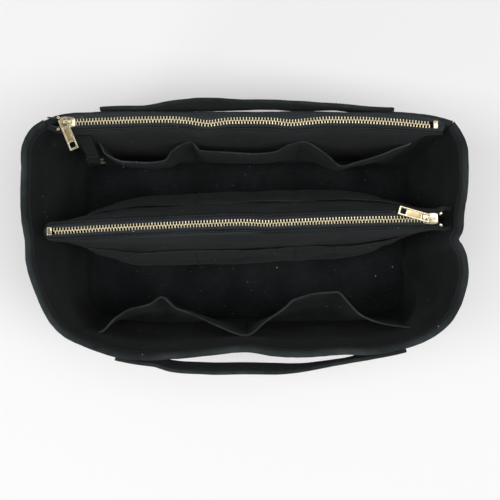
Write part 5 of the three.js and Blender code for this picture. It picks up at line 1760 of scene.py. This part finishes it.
    def pull(self, zipper):
        """The pull: a polished flat bar with a slot for the bridge, a sunk and brushed face, and a square window
        at its end."""
        zips = sizes("zips")
        bar = PULL_BAR
        end = zips.pull_length - bar
        half = zips.pull_half_width
        inner = half - 1.3 * MM
        panel_low, panel_high = bar + 6.2 * MM, end - 7.2 * MM
        lap, margin = 0.3 * MM, 0.2 * MM
        outlines = [
            rounded(-bar, end, half, 0.5 * MM), rounded(bar, bar + 5 * MM, inner, 0.6 * MM),
            rounded(panel_low, panel_high, inner, 0.5 * MM),
            rounded(end - 5.8 * MM, end - 1.6 * MM, 2.1 * MM, 0.6 * MM)]
        frame_bar = plate(outlines, zips.pull_thickness, 0.4 * MM, 3)
        sunk = rounded(panel_low - lap, panel_high + lap, inner + lap, 0.5 * MM)
        inlay = plate([sunk], zips.pull_thickness * 0.5, 0.05 * MM)
        matrix = pull_place(zipper)
        made = metal_piece(f"{zipper.name}_pull_tab", joined([frame_bar, inlay], matrix), material_of("gold"))
        # The sunk face takes the browner gold, which partly paints in its dark reflection.
        made.data.materials.append(material_of("brushed"))
        back = matrix.inverted()
        for face in made.data.polygons:
            x, y, z = back @ face.center
            within = panel_low - margin < x < panel_high + margin and abs(y) < inner
            if within and abs(z) < zips.pull_thickness * 0.27:
                face.material_index = 1
        settle(made, zipper.name.replace("_zip", "_pull"), f"{zipper.name}_pull", slot="brass")


def pull_place(zipper):
    """The frame of a pull, at its joint, pointing along the pull."""
    turn = math.radians(PULL_TURNS[zipper.name])
    if zipper.name == "rear_zip":
        swivel = Matrix.Translation(joint("rear_pull_swivel")["pos_m"]) @ Matrix.Rotation(turn, 4, "Z")
        return swivel @ Matrix.Translation((-PULL_BAR - 1.3 * MM, 0, 0))
    lift = joint("middle_pull_lift")
    axis = Vector(lift["axis"]).normalized()
    along_pull = Matrix.Rotation(math.atan2(axis.x, -axis.y), 4, "Z") @ Matrix.Rotation(turn, 4, "Y")
    return Matrix.Translation(lift["pos_m"]) @ along_pull


def rounded(low, high, half, radius, steps=4):
    """A rectangle from x low to high and y -half to half, with rounded corners."""
    points = []
    for x, y, start in ((high - radius, half - radius, 0), (low + radius, half - radius, 90),
                        (low + radius, radius - half, 180), (high - radius, radius - half, 270)):
        points += [(x + radius * math.cos(a), y + radius * math.sin(a))
                   for a in np.radians(np.linspace(start, start + 90, steps))]
    return points


def ribbon(upper, lower, width):
    """A thin wall between two rows of points, width thick in Y."""
    half = width / 2
    return lofted([
        [(ax, ay - half, az), (ax, ay + half, az), (bx, by + half, bz), (bx, by - half, bz)]
        for (ax, ay, az), (bx, by, bz) in zip(upper, lower)])


def strip(path, half_width, half_thickness):
    """A flat bent bar in X and Z, half_width to each side in Y, with softened edges."""
    points = np.array(path)
    run = np.gradient(points, axis=0)
    run /= np.linalg.norm(run, axis=1, keepdims=True)
    section = [(-1, -0.7), (-0.8, -1), (0.8, -1), (1, -0.7), (1, 0.7), (0.8, 1), (-0.8, 1), (-1, 0.7)]
    return lofted([
        [(x - rz * half_thickness * t, half_width * s, z + rx * half_thickness * t) for s, t in section]
        for (x, z), (rx, rz) in zip(points, run)])


class ORGANIZER_OT_grab_straps(bpy.types.Operator):
    """Makes the two grab straps, each of two halves that bend where the loop leaves its sewn ends"""
    bl_idname = "organizer.grab_straps"
    bl_label = "Grab straps"

    straps = {
        "front": {"side": -1, "free": (-66, 93.4), "tabs": (33.8, 30.4), "table": FRONT_STRAP},
        "rear": {"side": 1, "free": (-74, 81.7), "tabs": (37.5, 32.7), "table": REAR_STRAP},
    }
    split_share = 0.14
    stations = 150
    rows = 16
    # The cloth's share of the strap's thickness. The rest is left to its stitches.
    cloth_share = 0.93
    # How softly the strap comes to lie on the wall, and how far it waves where it is loose.
    soft = 0.8 * MM
    wave, wave_size, wave_seed = 0.4 * MM, 24 * MM, 301
    edge_wave, edge_size, edge_seed = 0.5 * MM, 30 * MM, 311

    def execute(self, context):
        outline = Outline()
        for name, facts in self.straps.items():
            left, right = (x * MM for x in facts["free"])
            tabs = [x * MM for x in facts["tabs"]]
            middle = (left + right) / 2
            for end, run, seam in (
                    ("left", (left - tabs[0], middle), left), ("right", (middle, right + tabs[1]), right)):
                xs = np.linspace(*run, self.stations)
                surface = self.surface(outline, facts["side"], facts["table"], xs)
                piece = cloth(f"{name}_strap_{end}_half", surface,
                              sizes("straps").thickness * self.cloth_share, material_of("webbing"))
                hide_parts(f"{name}_handle_{end}_end", f"{name}_handle")
                y, z = surface[0, 0, 1], sizes("body").height
                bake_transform(piece)
                rows = self.stitch_rows(surface, facts["side"], xs, seam)
                sewn = stitches(f"{name}_strap_{end}_stitches", rows)
                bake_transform(sewn)
        return {"FINISHED"}

    def surface(self, outline, side, table, xs):
        """Middle of the strap: its foot first, then up to its upper edge."""
        straps, body = sizes("straps"), sizes("body")
        low = body.height - straps.drop - straps.width
        upper = smooth_table([(x, edge) for x, edge, foot in table], xs / MM) * MM
        foot = smooth_table([(x, foot) for x, edge, foot in table], xs / MM) * MM
        rows = []
        for up in np.linspace(0.02, 0.98, self.rows):
            z = low + up * straps.width
            wall = np.abs(outline.face_y(xs, z, -body.puff * 0.9 - straps.seat - straps.thickness / 2, side))
            clear = foot + (upper - foot) * up - wall
            stand = (clear + np.hypot(clear, self.soft)) / 2 - self.soft * 0.2
            loose = ramp(0, 4 * MM, stand)
            wave = ripple(xs / self.wave_size, up * 1.5, self.wave_seed + side) * self.wave * loose
            edge = ripple(xs / self.edge_size, 0, self.edge_seed + side) * self.edge_wave * loose
            rows.append(points_of(xs, side * (wall + np.maximum(stand, 0) + wave), z + edge))
        return np.stack(rows, axis=1)

    def stitch_rows(self, surface, side, xs, seam):
        """Topstitching along both edges, and a sewn box on the end that lies on the wall."""
        out = np.array([0, side * (sizes("straps").thickness * self.cloth_share / 2 + 0.1 * MM), 0])
        rows = [surface[3:-3, 1] + out, surface[3:-3, -2] + out]
        for x in (seam, xs[0] if abs(xs[0] - seam) < abs(xs[-1] - seam) else xs[-1]):
            column = int(np.clip(np.argmin(np.abs(xs - x)), 3, len(xs) - 4))
            rows.append(surface[column, 1:-1] + out)
        return rows


class ORGANIZER_OT_key_strap(bpy.types.Operator):
    """Makes the key strap and its swivel clasp"""
    bl_idname = "organizer.key_strap"
    bl_label = "Key strap and clasp"

    loop_radius = 3.05 * MM

    def execute(self, context):
        self.strap()
        self.eye()
        self.hook()
        self.gate()
        for name in ("clasp_pin", "clasp_spring"):
            piece = frame["nodes"][name]
            piece.data.materials.clear()
            piece.data.materials.append(material_of("steel"))
        return {"FINISHED"}

    def strap(self):
        """A folded canvas strip from the rear pocket's panel down round the eye's bar."""
        straps = sizes("straps")
        low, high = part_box("key_strap")
        centre = np.array(joint("eye_swing")["pos_m"][1:])
        half = straps.key_thickness / 2
        radius = self.loop_radius - half * 0.6
        top = np.array([high.y - half, high.z])
        turns = np.radians(np.linspace(62, -262, 22))
        loop = [centre + radius * np.array([math.cos(a), math.sin(a)]) for a in turns]
        run = [top + (loop[0] - top) * t for t in np.linspace(0, 1, 24)[:-1]]
        back = [loop[-1] + (top - loop[-1]) * t for t in np.linspace(0, 0.16, 4)[1:]]
        path = np.array(run + loop + back)
        surface = np.stack([points_of(x, *path.T) for x in np.linspace(low.x, high.x, 12)], axis=1)
        # The strap takes the darker lining cloth, not the straps' own: painted shade for the shadow it hangs in.
        made = cloth("key_strap_cloth", surface, straps.key_thickness * 0.8, material_of("lining"))
        settle(made, "key_strap", "key_strap", slot="webbing")
        out = np.array([0, -straps.key_thickness * 0.42, 0])
        stitches("key_strap_stitches", [surface[1:20, row] + out for row in (1, -2)], "key_strap")

    def eye(self):
        """The clasp's eye: a bent wire loop with a turned collar."""
        low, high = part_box("clasp_eye")
        x, y = (low.x + high.x) / 2, (low.y + high.y) / 2
        wire = 0.55 * MM
        half = (high.x - low.x) / 2 - wire
        top, foot = high.z - wire, low.z + 4.5 * MM
        path = [(-half, top), (half, top), (half, top - 3.2 * MM), (half * 0.86, top - 4.6 * MM),
                (half * 0.5, foot), (-half * 0.5, foot), (-half * 0.86, top - 4.6 * MM), (-half, top - 3.2 * MM)]
        ring = tube([(x + px, y, pz) for px, pz in path], wire, closed=True)
        height = 4.5 * MM
        bore, wide = 1.5 * MM, 2.6 * MM
        profile = [(bore, 0), (wide * 0.8, 0), (wide, 0.5 * MM), (wide, height - 1.6 * MM),
                   (wide * 0.8, height - 0.9 * MM), (wide * 0.8, height - 0.2 * MM), (bore, height)]
        collar = moved(lathe(profile), Matrix.Translation((x, y, low.z)))
        fitting("clasp_eye_loop", joined([ring, collar]), "satin", "clasp_eye", "clasp_eye")

    def hook(self):
        """The hook: a tapering round bar from the neck round to the gate's tip, with cheeks for the gate."""
        low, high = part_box("clasp_hook")
        pin_low, pin_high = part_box("clasp_pin")
        x, y = (low.x + high.x) / 2, (low.y + high.y) / 2
        half = (high.x - low.x) / 2
        top = high.z - 7.1 * MM
        bar = 1.25 * MM
        centre_z = low.z + half
        path = [(half * 0.55, top - bar), (0, top - bar * 0.9), (-half * 0.5, top - bar * 1.2),
                (-half + bar, top - 3.4 * MM), (-half + bar, (top + centre_z) / 2), (-half + bar, centre_z)]
        reach = half - bar
        bend = np.radians(np.linspace(12, 168, 14))
        path += [(-reach * math.cos(a), centre_z - reach * math.sin(a)) for a in bend]
        shares = [1.0] * 5 + [1.05] + list(np.linspace(1.05, 0.72, len(bend)))
        parts = [tube([(x + px, y, pz) for px, pz in path], bar, radii=shares)]
        neck = [(0, 0), (1.1, 0), (1.1, 6.2), (2.0, 6.2), (2.0, 7.3), (0, 7.3)]
        shoulder = [(0, 0), (2.3, 0), (2.1, 1.1), (1.2, 1.7), (0, 1.7)]
        for profile, below in ((neck, 0.9 * MM), (shoulder, 1.7 * MM)):
            turned = lathe([(r * MM, z * MM) for r, z in profile])
            parts.append(moved(turned, Matrix.Translation((x, y, top - below))))
        pin_x, pin_z = (pin_low.x + pin_high.x) / 2, (pin_low.z + pin_high.z) / 2
        for near, far in ((1.25 * MM, 2.05 * MM), (-2.05 * MM, -1.25 * MM)):
            parts.append(box_between((pin_x - 1.7 * MM, y + near, pin_z - 2.2 * MM),
                                     (x + half, y + far, top - 0.2 * MM), 0.35 * MM))
        fitting("clasp_hook_bar", joined(parts), "satin", "clasp_hook", "clasp_hook")

    def gate(self):
        """The gate: a flat lever between the cheeks."""
        lever = box_between(*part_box("clasp_gate"), 0.3 * MM)
        fitting("clasp_gate_lever", joined([lever]), "satin", "clasp_gate", "clasp_gate")


class ORGANIZER_PT_panel(bpy.types.Panel):
    """Lists the organizer's pieces and their sizes"""
    bl_idname = "ORGANIZER_PT_panel"
    bl_label = "Purse organizer"
    bl_space_type = "VIEW_3D"
    bl_region_type = "UI"
    bl_category = "Organizer"

    def draw(self, context):
        for group in GROUPS:
            box = self.layout.box()
            box.label(text=group.title())
            settings = sizes(group)
            for name in settings.__annotations__:
                box.prop(settings, name)
        for operator in OPERATORS:
            self.layout.operator(operator.bl_idname)


GROUPS = {
    "body": OrganizerBody, "zips": OrganizerZips, "pockets": OrganizerPockets, "straps": OrganizerStraps,
    "finish": OrganizerFinish,
}
OPERATORS = (
    ORGANIZER_OT_stage, ORGANIZER_OT_walls, ORGANIZER_OT_rims, ORGANIZER_OT_base, ORGANIZER_OT_rear_pocket,
    ORGANIZER_OT_front_pockets, ORGANIZER_OT_pouch, ORGANIZER_OT_zippers, ORGANIZER_OT_grab_straps,
    ORGANIZER_OT_key_strap,
)
CLASSES = (*GROUPS.values(), *OPERATORS, ORGANIZER_PT_panel)


def register():
    """Adds the classes, and the groups of sizes to the scene."""
    for added in CLASSES:
        bpy.utils.register_class(added)
    for name, group in GROUPS.items():
        setattr(bpy.types.Scene, f"organizer_{name}", PointerProperty(type=group))


def unregister():
    """Takes away what register added."""
    for name in GROUPS:
        delattr(bpy.types.Scene, f"organizer_{name}")
    for added in reversed(CLASSES):
        bpy.utils.unregister_class(added)


def main():
    """Makes every piece in order and writes the two boxes."""
    register()
    for operator in OPERATORS:
        group, name = operator.bl_idname.split(".")
        getattr(getattr(bpy.ops, group), name)()


if __name__ == "__main__":
    main()
